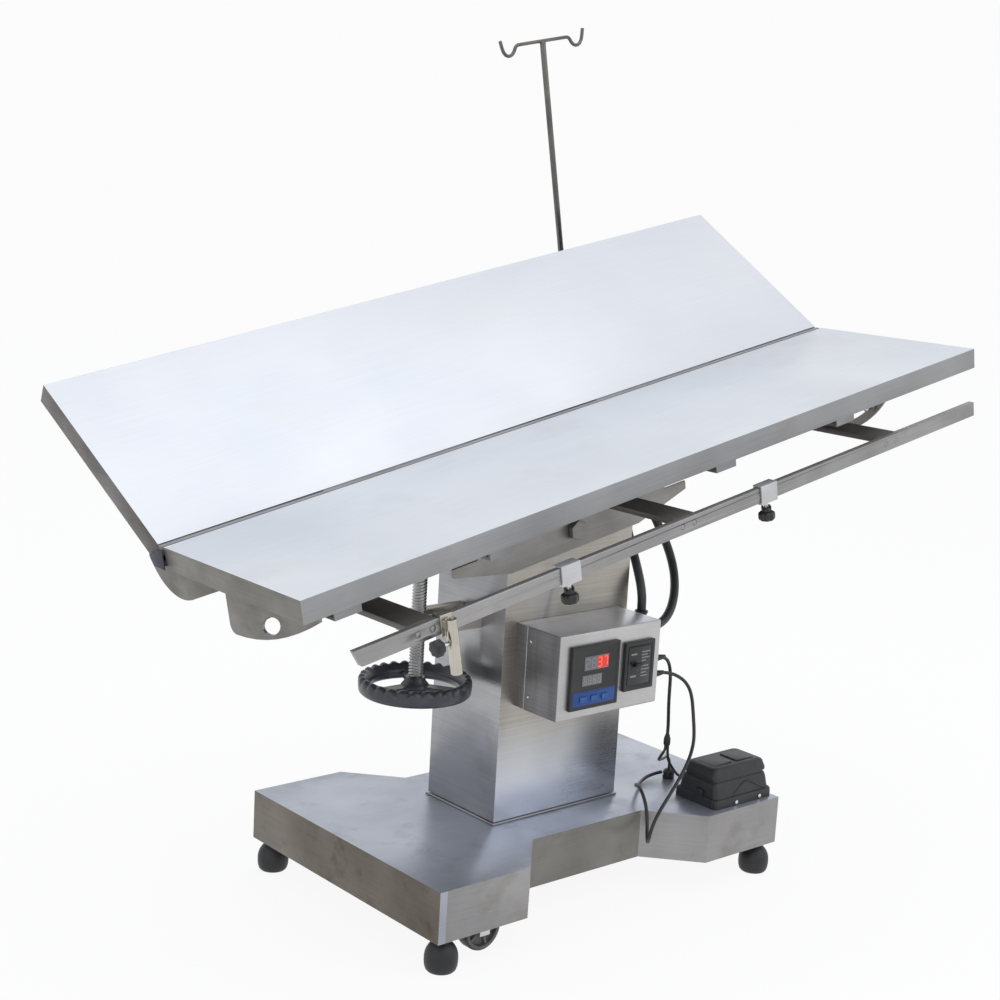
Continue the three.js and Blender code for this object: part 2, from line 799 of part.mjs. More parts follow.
function controlBox() {
  const half = boxLength / 2;
  const shell = cut(
    box([-half, half], [boxFront, boxBack], [-boxHeight / 2, boxHeight / 2]),
    box([boxSheet - half, half - boxSheet], [boxFront - through, boxBack - boxSheet],
      [boxSheet - boxHeight / 2, boxHeight / 2 - boxSheet]));
  const outlets = [[liftRoute, cableRadius], [supplyRoute, cableRadius], [frontHoseRoute, hoseRadius]]
    .map(([[[, y, z]], radius]) => rodX(radius + outletWall, y, z - boxMiddle, half - boxSheet / 2,
      half + outletLength));
  const elbowRadius = hoseRadius + outletWall;
  const [[, elbowY]] = backHoseRoute;
  const elbow = join(
    rodX(elbowRadius, elbowY, elbowUp, half - boxSheet / 2, half + elbowReach),
    rodZ(elbowRadius, half + elbowReach, elbowY, elbowUp - elbowRadius, elbowUp + elbowHeight));
  return join(shell, ...outlets, elbow);
}

function centred(length, height, across, up, near, far) {
  return box([across - length / 2, across + length / 2], [near, far], [up - height / 2, up + height / 2]);
}

function frontPanel() {
  const body = controllerBody + 2 * cutOutGap;
  const plate = centred(boxLength, boxHeight, 0, 0, panelFront, panelFront + boxSheet);
  const opening = [panelFront - through, panelFront + boxSheet + through];
  const inset = 2 * (breakerBodyInset - cutOutGap);
  return cut(plate,
    centred(body, body, controllerAcross, controllerUp, ...opening),
    centred(breakerLength - inset, breakerHeight - inset, breakerAcross, breakerUp, ...opening));
}

const bezelBack = panelFront - seatGap;
const bezelFront = bezelBack - bezelDepth;
const keySpots = Array.from({ length: keyCount },
  (_, i) => controllerAcross + keySpacing * (i - (keyCount - 1) / 2));

function controller() {
  const bezel = centred(controllerSize, controllerSize, controllerAcross, controllerUp,
    bezelFront, bezelBack);
  const body = centred(controllerBody, controllerBody, controllerAcross, controllerUp, bezelBack - through,
    bezelBack + controllerDepth);
  const display = centred(displayLength, displayHeight, controllerAcross, controllerUp + displayUp,
    bezelFront - through, bezelFront + displayDepth);
  const lowDisplay = centred(lowDisplayLength, lowDisplayHeight, controllerAcross,
    controllerUp + lowDisplayUp, bezelFront - through, bezelFront + displayDepth);
  const wells = keySpots.map((across) => centred(keyLength + 2 * seatGap, keyHeight + 2 * seatGap, across,
    controllerUp + keyUp, bezelFront - through, bezelFront + keyDepth + keyTravel + seatGap));
  return cut(join(bezel, body), display, lowDisplay, ...wells);
}

function key(across) {
  return centred(keyLength, keyHeight, across, controllerUp + keyUp, bezelFront - keyProud,
    bezelFront + keyDepth);
}

const toggleAxis = bezelFront + windowDepth + toggleRadius / 2;

function breaker() {
  const inset = 2 * breakerBodyInset;
  const rim = centred(breakerLength, breakerHeight, breakerAcross, breakerUp, bezelFront, bezelBack);
  const body = centred(breakerLength - inset, breakerHeight - inset, breakerAcross, breakerUp,
    bezelBack - through, bezelBack + breakerDepth);
  const window = centred(windowLength, windowHeight, breakerAcross, breakerUp, bezelFront - through,
    bezelFront + windowDepth);
  const well = centred(toggleWidth + 2 * seatGap, toggleWell, breakerAcross, breakerUp, bezelFront,
    toggleAxis + toggleRadius + seatGap);
  return cut(join(rim, body), window, well);
}

function breakerToggle() {
  const half = toggleWidth / 2;
  const barrel = rodX(toggleRadius, 0, 0, -half, half);
  const lever = box([-half, half], [-toggleRadius - toggleOut, 0], [-toggleLever / 2, toggleLever / 2]);
  return join(barrel, lever);
}

add(panel, 'control_box', brushed, controlBox());
add(panel, 'front_panel', brushed, frontPanel());
add(panel, 'temperature_controller', black, controller());
keySpots.forEach((across, i) => add(panel, `key_${i + 1}`, keyBlue, key(across)));
add(panel, 'breaker', black, breaker());
const toggle = frame(panel, breakerAcross, toggleAxis, breakerUp);
toggle.name = 'toggle_axis';
toggle.rotation.x = -toggleRest * degree;
add(toggle, 'breaker_toggle', black, breakerToggle());

// Tilting top: a frame on the pivot pin, and a frame at the middle of the hinge line
const tilt = frame(table, 0, 0, pinHeight);
tilt.name = 'tilt_axis';
tilt.rotation.y = -restTilt * degree;
const top = frame(tilt, topShift, 0, topRise);
top.name = 'top_frame';
const saddleInner = sleeveWidth / 2 + saddleSideGap;
const saddleOuter = saddleInner + saddleSheet;

function pivotPin() {
  const half = saddleOuter + seatGap;
  const shaft = rodY(pinRadius, 0, 0, -half - pinNutThickness, half + pinNutThickness, 14);
  const nuts = sides.map((side) => rodY(pinNutRadius, 0, 0, side * half, side * (half + pinNutThickness), 6));
  return join(shaft, ...nuts);
}

function saddle() {
  const right = [[saddleBottomHalf, saddleBottom], [saddleTailHalf, saddleTailLow],
    [saddleTailHalf, saddleTailTop], [saddleBodyHalf, saddleTailTop], [saddleBodyHalf, saddleTop]];
  const plate = outline([...right, ...right.toReversed().map(([x, z]) => [-x, z])]);
  const walls = [prismY(plate, saddleInner, saddleOuter), prismY(plate, -saddleOuter, -saddleInner)];
  const bridge = block(2 * saddleBodyHalf, 2 * saddleOuter, saddleTop - saddleSheet, saddleTop);
  const hole = rodY(pinRadius + seatGap, 0, 0, -2 * saddleOuter, 2 * saddleOuter, 14);
  return cut(join(...walls, bridge), hole);
}

add(tilt, 'pivot_pin', shadedSteel, pivotPin());
add(tilt, 'saddle', brushed, saddle());

// Backbone channel with the clevis of the tilt screw below its left half
const clevisX = -screwReach - topShift;
const clevisZ = screwRise - topRise;

function backbone() {
  const half = backboneWidth / 2;
  const inner = half - backboneSheet;
  const roof = -backboneDrop - backboneSheet;
  const section = outline([[-half, backboneBottom], [-inner, backboneBottom], [-inner, roof], [inner, roof],
    [inner, backboneBottom], [half, backboneBottom], [half, -backboneDrop], [-half, -backboneDrop]]);
  const channel = prismX(section, backboneInset - panHalf, panHalf - backboneInset);
  const span = [clevisX - clevisRadius, clevisX + clevisRadius];
  const strap = box(span, [-half, half], [backboneBottom, backboneBottom + backboneSheet]);
  const cheekFace = yokeHalf + clevisGap;
  const cheeks = sides.map((side) => join(
    box(span, [side * cheekFace, side * (cheekFace + clevisSheet)],
      [clevisZ, backboneBottom + backboneSheet]),
    rodY(clevisRadius, clevisX, clevisZ, side * cheekFace, side * (cheekFace + clevisSheet), 24)));
  const hole = rodY(yokePinRadius + seatGap, clevisX, clevisZ, -backboneWidth, backboneWidth, 14);
  return cut(join(channel, strap, ...cheeks), hole);
}

// Knuckles of one hinge line: every second length belongs to the spine, the others to the wing
function knuckleSpans(first) {
  const pitch = panLength / knuckleCount;
  const spans = [];
  for (let i = first; i < knuckleCount; i += 2) {
    const start = -panHalf + i * pitch + knuckleGap / 2;
    spans.push([start, start + pitch - knuckleGap]);
  }
  return spans;
}

function spineKnuckle(side, [from, to]) {
  const barrel = rodX(knuckleRadius, side * hingeOffset, -hingeDrop, from, to, 8);
  const leaf = box([from, to], [0, side * hingeOffset], [-hingeDrop - 0.9 * knuckleRadius, -hingeDrop]);
  return join(barrel, leaf);
}

// Left end plate: lobe about the hinge line, with a straight edge toward the front
function endLobe() {
  const roof = -panDepth - plateTopGap;
  const start = -Math.asin((-roof - hingeDrop) / lobeRadius);
  const turn = -Math.PI / 2 - lobeSlope * degree;
  const tangentY = lobeRadius * Math.cos(turn);
  const tangentZ = -hingeDrop + lobeRadius * Math.sin(turn);
  const shape = new THREE.Shape();
  shape.moveTo(neckHalf, -spineDepth / 2);
  shape.lineTo(neckHalf, roof);
  shape.absarc(0, -hingeDrop, lobeRadius, start, turn, true);
  shape.lineTo(tangentY - (roof - tangentZ) / Math.tan(lobeSlope * degree), roof);
  shape.lineTo(-neckHalf, roof);
  shape.lineTo(-neckHalf, -spineDepth / 2);
  return prismX(shape, -endPlateX, -endPlateX + endPlateThickness);
}

// Right end plate: an arm to each wing lock
const lockAcross = hingeOffset + slotRadius * Math.cos(lockAngle * degree);
const lockZ = -hingeDrop - slotRadius * Math.sin(lockAngle * degree);
const lockPlateX = sectorX - plateGap - 2 * endPlateThickness;

function lockArm(side) {
  const roof = -panDepth - plateTopGap;
  const shape = new THREE.Shape();
  shape.moveTo(-side * neckHalf, -spineDepth / 2);
  shape.lineTo(side * neckHalf, -spineDepth / 2);
  shape.lineTo(side * neckHalf, roof);
  const from = side > 0 ? Math.PI / 4 : 3 * Math.PI / 4;
  shape.absarc(side * lockAcross, lockZ, lockArmHalf, from, from - side * Math.PI, side > 0);
  shape.lineTo(-side * neckHalf, lockZ / 2);
  return prismX(shape, lockPlateX, lockPlateX + endPlateThickness);
}

function spine() {
  const half = spineThickness / 2;
  const barTop = -hingeDrop + knuckleRadius;
  const bar = box([-panHalf, panHalf], [-half, half], [-spineDepth, barTop]);
  const webHalf = panHalf - spineWebInset;
  const web = box([-webHalf, webHalf], [-half, half], [seatGap - backboneDrop, -spineDepth / 2]);
  const knuckles = sides.flatMap((side) => knuckleSpans(0).map((span) => spineKnuckle(side, span)));
  const pins = sides.map((side) => rodX(hingePinRadius, side * hingeOffset, -hingeDrop,
    knuckleGap - panHalf, panHalf - knuckleGap, 8));
  const holes = sides.map((side) => rodX(lockBoltRadius + seatGap, side * lockAcross, lockZ,
    lockPlateX - through, lockPlateX + endPlateThickness + through));
  return cut(join(bar, web, ...knuckles, ...pins, endLobe(), ...sides.map(lockArm)), ...holes);
}

add(top, 'backbone', shadedSteel, backbone());
add(top, 'spine', brushed, spine());

// Wings: folded pans with cross braces, a lock sector at the right end
function wingBody(side) {
  const section = outline([[panInner, 0], [panOuter, 0], [panOuter, -panDepth],
    [panInner + panChamfer, -panDepth], [panInner, panChamfer - panDepth]].map(([y, z]) => [side * y, z]));
  const inside = outline([[panInner + panSheet, -panSheet], [panOuter - panSheet, -panSheet],
    [panOuter - panSheet, -panDepth - through], [panInner + panSheet, -panDepth - through]]
    .map(([y, z]) => [side * y, z]));
  return cut(prismX(section, -panHalf, panHalf), prismX(inside, panSheet - panHalf, panHalf - panSheet));
}

function wingKnuckle(side, [from, to]) {
  const axis = side * hingeOffset;
  const bore = hingePinRadius + seatGap;
  const ring = rodX(knuckleRadius, axis, -hingeDrop, from, to, 8);
  const leaf = box([from, to], [axis + side * bore, side * (panInner + panSheet / 2)],
    [-hingeDrop - 0.8 * knuckleRadius, -hingeDrop + 0.7 * knuckleRadius]);
  return cut(join(ring, leaf), rodX(bore, axis, -hingeDrop, from - through, to + through, 8));
}

function brace(side, spot) {
  const half = braceWidth / 2;
  const span = [spot - half, spot + half];
  const roof = boardBottom - seatGap;
  const low = -panDepth - braceDrop;
  const inner = side * (panInner + panSheet / 2);
  const outer = side * (panOuter - panSheet / 2);
  const channel = cut(
    box(span, [inner, outer], [low, roof]),
    box([span[0] + panSheet, span[1] - panSheet], [inner, outer - side * braceInset],
      [low - through, roof - panSheet]));
  const innerTab = box(span, [inner, inner + side * braceInset], [low, panChamfer - panDepth + braceInset]);
  const outerTab = box(span, [outer - side * braceInset, outer], [low, panSheet - panDepth]);
  return join(channel, innerTab, outerTab);
}

// Plate about the hinge axis, drawn for the back wing and turned over for the front one
function sectorPlate(shape, side, from, to) {
  const geometry = extrude(shape, to - from);
  geometry.applyMatrix4(turnToX);
  geometry.scale(1, side, 1);
  geometry.translate(sectorX - endPlateThickness + from, side * hingeOffset, -hingeDrop);
  return solidOf(geometry);
}

// Sector about the hinge axis with an arc slot for the lock bolt, as long as the wing's travel
function lockSector(side) {
  const outer = slotRadius + sectorMargin;
  const inner = slotRadius - sectorMargin;
  const half = lockBoltRadius + runningGap;
  const margin = half / slotRadius;
  const first = -lockAngle * degree + margin;
  const last = -(lockAngle + wingTravel) * degree - margin;
  const edge = sectorMargin / 2 / slotRadius;
  const ceiling = hingeDrop - panSheet / 2;
  const shape = new THREE.Shape();
  shape.moveTo(inner / 3, ceiling);
  shape.lineTo(outer, ceiling);
  shape.absarc(0, 0, outer, first + 3 * edge, last - edge, true);
  shape.absarc(0, 0, inner, last - edge, first - 3 * edge, false);
  shape.lineTo(inner / 3, -inner / 3);
  const slot = new THREE.Shape();
  slot.absarc(0, 0, slotRadius + half, first, last, true);
  slot.absarc(0, 0, slotRadius - half, last, first, false);
  const plate = sectorPlate(shape, side, 0, endPlateThickness);
  return cut(plate, sectorPlate(slot, side, -through, endPlateThickness + through));
}

// Grip ear: rounded plate with a hole, hung from the sheet near the left end
function gripEar(side) {
  const round = 14;
  const shape = new THREE.Shape();
  shape.moveTo(side * earInner, -panSheet / 2);
  shape.lineTo(side * earInner, round - earDepth);
  shape.quadraticCurveTo(side * earInner, -earDepth, side * (earInner + round), -earDepth);
  shape.quadraticCurveTo(side * (earInner + panOuter) / 2, 0.96 * -earDepth, side * (panOuter - panSheet),
    -panDepth - boardDrop);
  shape.lineTo(side * (panOuter - panSheet / 2), -panDepth + panSheet);
  shape.lineTo(side * (panOuter - panSheet / 2), -panSheet / 2);
  const left = plateGap + endPlateThickness - endPlateX;
  const hole = new THREE.Shape();
  hole.absellipse(side * earHoleAcross, -earHoleDepth, earHoleWidth / 2, earHoleHeight / 2, 0, 2 * Math.PI);
  return cut(prismX(shape, left, left + endPlateThickness),
    prismX(hole, left - through, left + endPlateThickness + through));
}

function wing(side) {
  const braces = braceSpots.map((spot) => brace(side, spot));
  const knuckles = knuckleSpans(1).map((span) => wingKnuckle(side, span));
  const whole = join(wingBody(side), ...braces, ...knuckles, lockSector(side));
  return side < 0 ? join(whole, gripEar(side)) : whole;
}

// Heater board: flat insulated board that lies on the braces and closes the pan from below
function heaterBoard(side) {
  const half = panHalf - boardEndInset;
  return box([-half, half], [side * boardInner, side * (panOuter - boardOuterInset)],
    [boardBottom, boardBottom + boardThickness]);
}

// Lock: bolt with nut behind the end plate, hub and handle outside the sector
function wingLock() {
  const nutFace = lockPlateX - seatGap;
  const hubFace = sectorX + seatGap;
  return join(
    rodX(2 * lockBoltRadius, 0, 0, nutFace - lockNutThickness, nutFace, 6),
    rodX(lockBoltRadius, 0, 0, nutFace - lockNutThickness, hubFace + lockHubLength, 10),
    rodX(lockHubRadius, 0, 0, hubFace, hubFace + lockHubLength, 14),
    rodX(lockHandleRadius, 0, 0, hubFace, hubFace + lockHubLength + lockHandleLength, 8));
}

const wingNames = { '-1': 'front', 1: 'back' };
sides.forEach((side) => {
  const name = wingNames[side];
  const hinge = frame(top, 0, side * hingeOffset, -hingeDrop);
  hinge.name = `${name}_hinge`;
  hinge.rotation.x = side > 0 ? backWingRest * degree : 0;
  const flat = frame(hinge, 0, -side * hingeOffset, hingeDrop);
  add(flat, `${name}_wing`, pale, wing(side));
  add(flat, `${name}_heater_board`, shadedSteel, heaterBoard(side));
  const lock = frame(top, 0, side * lockAcross, lockZ);
  lock.name = `${name}_lock_axis`;
  add(lock, `${name}_wing_lock`, bright, wingLock());
});

// Rail arms: flat bars from the backbone, a turned-down flange with two screws, a stop under the wing
function railArm(side) {
  const half = armWidth / 2;
  const near = side * (backboneWidth / 2 + seatGap);
  const far = side * (railAcross - seatGap);
  const bar = box([-half, half], [near, far], [-railDrop - armThickness, -railDrop]);
  const flange = box([-half, half], [far - side * armThickness, far], [-railDrop - armFlange, -railDrop]);
  return join(bar, flange);
}

function armStop(side) {
  return rodZ(stopRadius, 0, side * stopAcross, -railDrop - armThickness, boardBottom - seatGap, 10);
}

function armScrew(offset, radius, from, to) {
  return rodY(radius, offset, -railDrop - railHeight / 2, from, to, 8);
}

function frontArm() {
  const screws = sides.map((end) => armScrew(end * screwSpacing / 2, screwRadius,
    armThickness / 2 - railAcross, seatGap - railOuter));
  return join(railArm(-1), armStop(-1), ...screws);
}

function frontRail() {
  const left = railLeftInset - panHalf;
  const right = panHalf - railRightInset;
  const bar = prismY(outline([[left, -railDrop], [right, -railDrop], [right, railBottom],
    [left + railMitre, railBottom]]), -railOuter, -railAcross);
  const holes = armSpots.flatMap((spot) => sides.map((end) => armScrew(spot + end * screwSpacing / 2,
    screwRadius + seatGap, through - railAcross, -railOuter - through)));
  return cut(bar, ...holes);
}

// Short rail at the back for the drip pole, welded to its two arms
function backRail() {
  const bar = box([backRailLeft, backRailRight], [railAcross - seatGap, railOuter], [railBottom, -railDrop]);
  const half = armWidth / 2;
  const arms = backArmSpots.map((spot) => box([spot - half, spot + half],
    [backboneWidth / 2 + seatGap, railAcross], [-railDrop - armThickness, -railDrop]));
  const stop = rodZ(stopRadius, backArmSpots.at(-1), stopAcross, -railDrop - armThickness,
    boardBottom - seatGap, 10);
  return join(bar, ...arms, stop);
}

add(top, 'front_rail', brushed, frontRail());
armSpots.forEach((spot, i) => add(frame(top, spot, 0, 0), armNames[i], shadedSteel, frontArm()));
add(top, 'back_rail', shadedSteel, backRail());

// Rail clamp: band round the rail, knob screw from below
const bandBottom = railBottom - seatGap - railClampSheet;

function railClamp() {
  const outer = railClampSheet + seatGap;
  const half = railClampLength / 2;
  const band = box([-half, half], [-railOuter - outer, outer - railAcross], [bandBottom, outer - railDrop]);
  const inside = box([-half - through, half + through], [-railOuter - seatGap, seatGap - railAcross],
    [railBottom - seatGap, seatGap - railDrop]);
  const hole = rodZ(clampStemRadius + seatGap, 0, -(railAcross + railOuter) / 2, bandBottom - through,
    railBottom, 12);
  return cut(band, inside, hole);
}

function clampKnob() {
  const collarTop = bandBottom - clampStemShown;
  const knobTop = collarTop - clampCollarHeight;
  return join(
    rodZ(clampStemRadius, 0, 0, knobTop, railBottom - seatGap, 12),
    rodZ(clampCollarRadius, 0, 0, knobTop, collarTop, 16),
    prismZ(lobedShape(clampKnobRadius, 6), knobTop - clampKnobHeight, knobTop));
}

railClampSpots.forEach((spot, i) => {
  const clamp = frame(top, spot, 0, 0);
  add(clamp, `rail_clamp_${i + 1}`, bright, railClamp());
  const knob = frame(clamp, 0, -(railAcross + railOuter) / 2, 0);
  knob.name = `clamp_knob_axis_${i + 1}`;
  add(knob, `clamp_knob_${i + 1}`, black, clampKnob());
});

// Pole clamp: hook over the rail with a socket tube, knob screw from the left
const socketAcross = railOuter + socketOut;

function poleClamp(side) {
  const front = railOuter + seatGap;
  const back = railAcross - seatGap;
  const roof = seatGap - railDrop;
  const foot = railBottom - hookSheet;
  const hook = outline([[back, roof], [front, roof], [front, foot], [front + hookSheet, foot],
    [front + hookSheet, roof + hookSheet], [back - hookSheet, roof + hookSheet],
    [back - hookSheet, roof - hookLip], [back, roof - hookLip]].map(([y, z]) => [side * y, z]));
  const bore = poleRadius + poleFit;
  const tie = box([-hookHalf + hookSheet, hookHalf - hookSheet],
    [side * (front + hookSheet / 2), side * (socketAcross - bore)], [foot, socketTop - hookSheet]);
  const tube = rodZ(socketRadius, 0, side * socketAcross, socketTop - socketLength, socketTop);
  const poleHole = rodZ(bore, 0, side * socketAcross, socketTop - socketLength - through,
    socketTop + through);
  const screwHole = rodX(poleScrewRadius + seatGap, side * socketAcross, -poleKnobDrop,
    -2 * socketRadius, 0);
  return cut(join(prismX(hook, -hookHalf, hookHalf), tie, tube), poleHole, screwHole);
}

function poleKnob() {
  const tip = -poleRadius - poleFit;
  const face = tip - poleScrewLength;
  return join(
    rodX(poleScrewRadius, 0, 0, face, tip, 12),
    prismX(lobedShape(poleKnobRadius, 6), face - poleKnobLength, face));
}

// Drip pole: rod with a cross wire bent into a hook at each end
function dripPole() {
  const middle = (hookBarHalf + hookReach) / 2;
  const bend = [[0.94 * hookBarHalf, 0], [hookBarHalf, -0.1 * hookDrop],
    [0.7 * hookBarHalf + 0.3 * middle, -0.55 * hookDrop], [middle, -hookDrop],
    [0.3 * middle + 0.7 * hookReach, -0.5 * hookDrop], [hookReach, hookTipRise]];
  const left = bend.toReversed().map(([x, z]) => [-x, 0, poleTop + z]);
  const right = bend.map(([x, z]) => [x, 0, poleTop + z]);
  const wire = tubeAlong([...left, [0, 0, poleTop], ...right], hookWireRadius, 8, 24);
  const rod = rodZ(poleRadius, 0, 0, socketTop - socketLength + poleFootGap, poleTop, 12);
  return join(rod, wire);
}

[[-1, frontPoleSpot], [1, backPoleSpot]].forEach(([side, spot]) => {
  const name = wingNames[side];
  const clamp = frame(top, spot, 0, 0);
  add(clamp, `pole_clamp_${name}`, bright, poleClamp(side));
  const knob = frame(clamp, 0, side * socketAcross, -poleKnobDrop);
  knob.name = `pole_knob_axis_${name}`;
  add(knob, `pole_knob_${name}`, black, poleKnob());
  if (side > 0) add(frame(clamp, 0, socketAcross, 0), 'iv_pole', bright, dripPole());
});

// Tilt screw: yoke in the clevis, screw hung from the yoke, nut in the fork, handwheel below
const screw = frame(table, screwTop.x, 0, screwTop.z);
screw.name = 'screw_pivot';
const screwHead = screwNeckLength - yokeHeight;

function screwYoke() {
  const body = box([-yokeHalf, yokeHalf], [-yokeHalf, yokeHalf], [-yokeHeight, yokePinRadius + clevisGap]);
  const pinHalf = yokeHalf + clevisGap + clevisSheet;
  const pin = rodY(yokePinRadius, 0, 0, -pinHalf, pinHalf, 14);
  const bore = rodZ(screwNeckRadius + seatGap, 0, 0, -yokeHeight - through, screwHead + seatGap);
  return cut(join(body, pin), bore);
}

function tiltScrew() {
  const shoulder = -yokeHeight - seatGap;
  const hubTop = handwheelHubHeight / 2 - handwheelDrop;
  const root = tiltScrewRadius - threadDepth;
  const profile = [[0, screwHead], [screwNeckRadius, screwHead], [screwNeckRadius, shoulder]];
  for (let z = shoulder; z > hubTop + 2 * threadPitch; z -= threadPitch) {
    profile.push([root, z]);
    profile.push([tiltScrewRadius, z - threadPitch / 2]);
  }
  profile.push([root, hubTop + seatGap]);
  profile.push([screwNeckRadius, hubTop + seatGap]);
  profile.push([screwNeckRadius, hubTop - handwheelHubHeight - seatGap]);
  profile.push([0, hubTop - handwheelHubHeight - seatGap]);
  return turned(profile, 12);
}

// Rim with finger ripples on its upper outer edge, hub, three spokes
function handwheel() {
  const ring = wheelDiameter / 2 - gripRadius;
  const rim = new THREE.TorusGeometry(ring, gripRadius, 6, 3 * gripRipples);
  const position = rim.getAttribute('position');
  const point = new THREE.Vector3();
  const tall = gripHeight / 2 / gripRadius;
  for (let i = 0; i < position.count; i += 1) {
    point.fromBufferAttribute(position, i);
    const around = Math.atan2(point.y, point.x);
    const out = Math.hypot(point.x, point.y) - ring;
    const upper = Math.max(0, point.z / gripRadius + out / gripRadius) / Math.SQRT2;
    const dip = rippleDepth * upper * (1 - Math.cos(gripRipples * around)) / 2;
    const scale = 1 - dip / Math.hypot(point.x, point.y);
    position.setXYZ(i, point.x * scale, point.y * scale, (point.z - dip) * tall);
  }
  const half = handwheelHubHeight / 2;
  const hub = turned([[0, -half], [0.8 * handwheelHubRadius, -half], [handwheelHubRadius, -half / 2],
    [handwheelHubRadius, half / 2], [0.75 * handwheelHubRadius, half], [0, half]], 14);
  const spokes = [];
  for (let i = 0; i < handwheelSpokes; i += 1) {
    const geometry = new THREE.BoxGeometry(ring, handwheelSpokeWidth, handwheelSpokeHeight);
    geometry.translate(ring / 2, 0, 0);
    geometry.rotateZ(2 * Math.PI * (i + 0.5) / handwheelSpokes);
    spokes.push(solidOf(geometry));
  }
  const bore = rodZ(screwNeckRadius + seatGap, 0, 0, -handwheelHubHeight, handwheelHubHeight);
  return cut(join(solidOf(rim), hub, ...spokes), bore);
}

function tiltNut() {
  const body = block(2 * nutHalf, 2 * nutHalf, -nutHeight / 2, nutHeight / 2);
  const end = nutHalf + forkGap + forkSheet;
  const trunnions = rodY(trunnionRadius, 0, 0, -end, end, 14);
  const bore = rodZ(tiltScrewRadius + runningGap, 0, 0, -nutHeight, nutHeight, 14);
  return cut(join(body, trunnions), bore);
}

add(screw, 'screw_yoke', shadedSteel, screwYoke());
add(screw, 'tilt_screw', bright, tiltScrew());
add(frame(table, screwTop.x, 0, handwheelMiddle), 'handwheel', black, handwheel());
const nut = frame(table, screwTop.x, 0, nutMiddle);
nut.name = 'nut';
add(nut, 'tilt_nut', shadedSteel, tiltNut());

// Gland in the base top
function baseGland() {
  return turned([[0, -glandNeckLength], [glandNeckRadius, -glandNeckLength], [glandNeckRadius, seatGap],
    [glandRadius, seatGap], [glandRadius, 0.6 * glandHeight], [0.7 * glandRadius, glandHeight],
    [0, glandHeight]]);
}

add(frame(table, glandX, glandY, baseTop), 'base_gland', black, baseGland());

// Foot switch: sloped housing on a flange, lid that rocks about Y on a pin inside the housing
const pedal = frame(table, pedalX, pedalY, baseTop);
pedal.name = 'pedal';

// Slice of the sloped foot switch between two heights
function pedalSlice(bottom, crown) {
  const taper = (low, high) => {
    const at = (height) => (low + (high - low) * height / pedalHeight) / 2;
    return outline([[-at(bottom), bottom], [at(bottom), bottom], [at(crown), crown], [-at(crown), crown]]);
  };
  return prismY(taper(pedalLength, pedalTopLength), -pedalWidth, pedalWidth)
    .intersect(prismX(taper(pedalWidth, pedalTopWidth), -pedalLength, pedalLength));
}

function pedalHousing() {
  const flange = block(pedalLength, pedalWidth, seatGap, pedalFlange);
  const outlet = rodY(pedalOutletRadius, pedalOutletAcross, pedalOutletUp, 0,
    pedalWidth / 2 + pedalOutletLength);
  const well = block(2 * (lidHubHalf + lidPlay), lidHubWidth + 2 * seatGap, lidAxis - lidHubHalf - lidPlay,
    pedalHeight);
  const pinHole = rodY(lidPinRadius + seatGap, 0, lidAxis, -lidPinHalf - seatGap, lidPinHalf + seatGap);
  return cut(join(pedalSlice(seatGap, pedalSeam), flange, outlet), well, pinHole);
}

function pedalLid() {
  const bottom = pedalSeam + lidGap;
  const half = pedalLength / 2;
  const crown = outline([[-half, bottom], [half, bottom], [half, pedalHeight - lidEdge],
    [half - 2 * lidEdge, pedalHeight - lidEdge / 4], [half / 3, pedalHeight], [-half / 3, pedalHeight],
    [2 * lidEdge - half, pedalHeight - lidEdge / 4], [-half, pedalHeight - lidEdge]]);
  const lid = pedalSlice(bottom, pedalHeight).intersect(prismY(crown, -pedalWidth, pedalWidth));
  const hub = block(2 * lidHubHalf, lidHubWidth, lidAxis - lidHubHalf, bottom + lidGap);
  const pin = rodY(lidPinRadius, 0, lidAxis, -lidPinHalf, lidPinHalf);
  return join(lid, hub, pin);
}

add(pedal, 'pedal_housing', black, pedalHousing());
add(pedal, 'pedal_plate', black, pedalLid());

// Joiner between the lift cable and its two strands, then the cables and hoses
const [joinerX, joinerY, joinerTop] = liftRoute.at(-1);

function cableJoiner() {
  const high = joinerTop - seatGap;
  const low = high - joinerLength;
  return turned([[0, low], [0.8 * joinerRadius, low], [joinerRadius, low + joinerFoot],
    [joinerRadius, high - joinerNeck], [0.7 * joinerRadius, high], [0, high]], 14);
}

add(frame(table, joinerX, joinerY, 0), 'cable_joiner', rubberBlack, cableJoiner());

// The table stands with the middle of its bounding box, cables and hoses left out, over the origin
table.updateMatrixWorld(true);
const bounds = new THREE.Box3().setFromObject(table, true);
const middle = bounds.getCenter(new THREE.Vector3());
table.position.set(-middle.x, -middle.y, -bounds.min.z);

add(table, 'lift_cable', rubberBlack, tubeAlong(liftRoute, cableRadius, 8, 14));
add(table, 'gland_cable', rubberBlack, tubeAlong(glandRoute, strandRadius, 8, 10));
add(table, 'pedal_cable', rubberBlack, tubeAlong(pedalRoute, strandRadius, 8, 10));
add(table, 'supply_cable', rubberBlack, tubeAlong(supplyRoute, cableRadius, 8, 56));
add(table, 'front_heater_hose', hoseGrey, tubeAlong(frontHoseRoute, hoseRadius, 10, 12));
add(table, 'back_heater_hose', hoseGrey, tubeAlong(backHoseRoute, hoseRadius, 10, 9));

export default table;
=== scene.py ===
import bpy
import math
from mathutils import Matrix, Vector


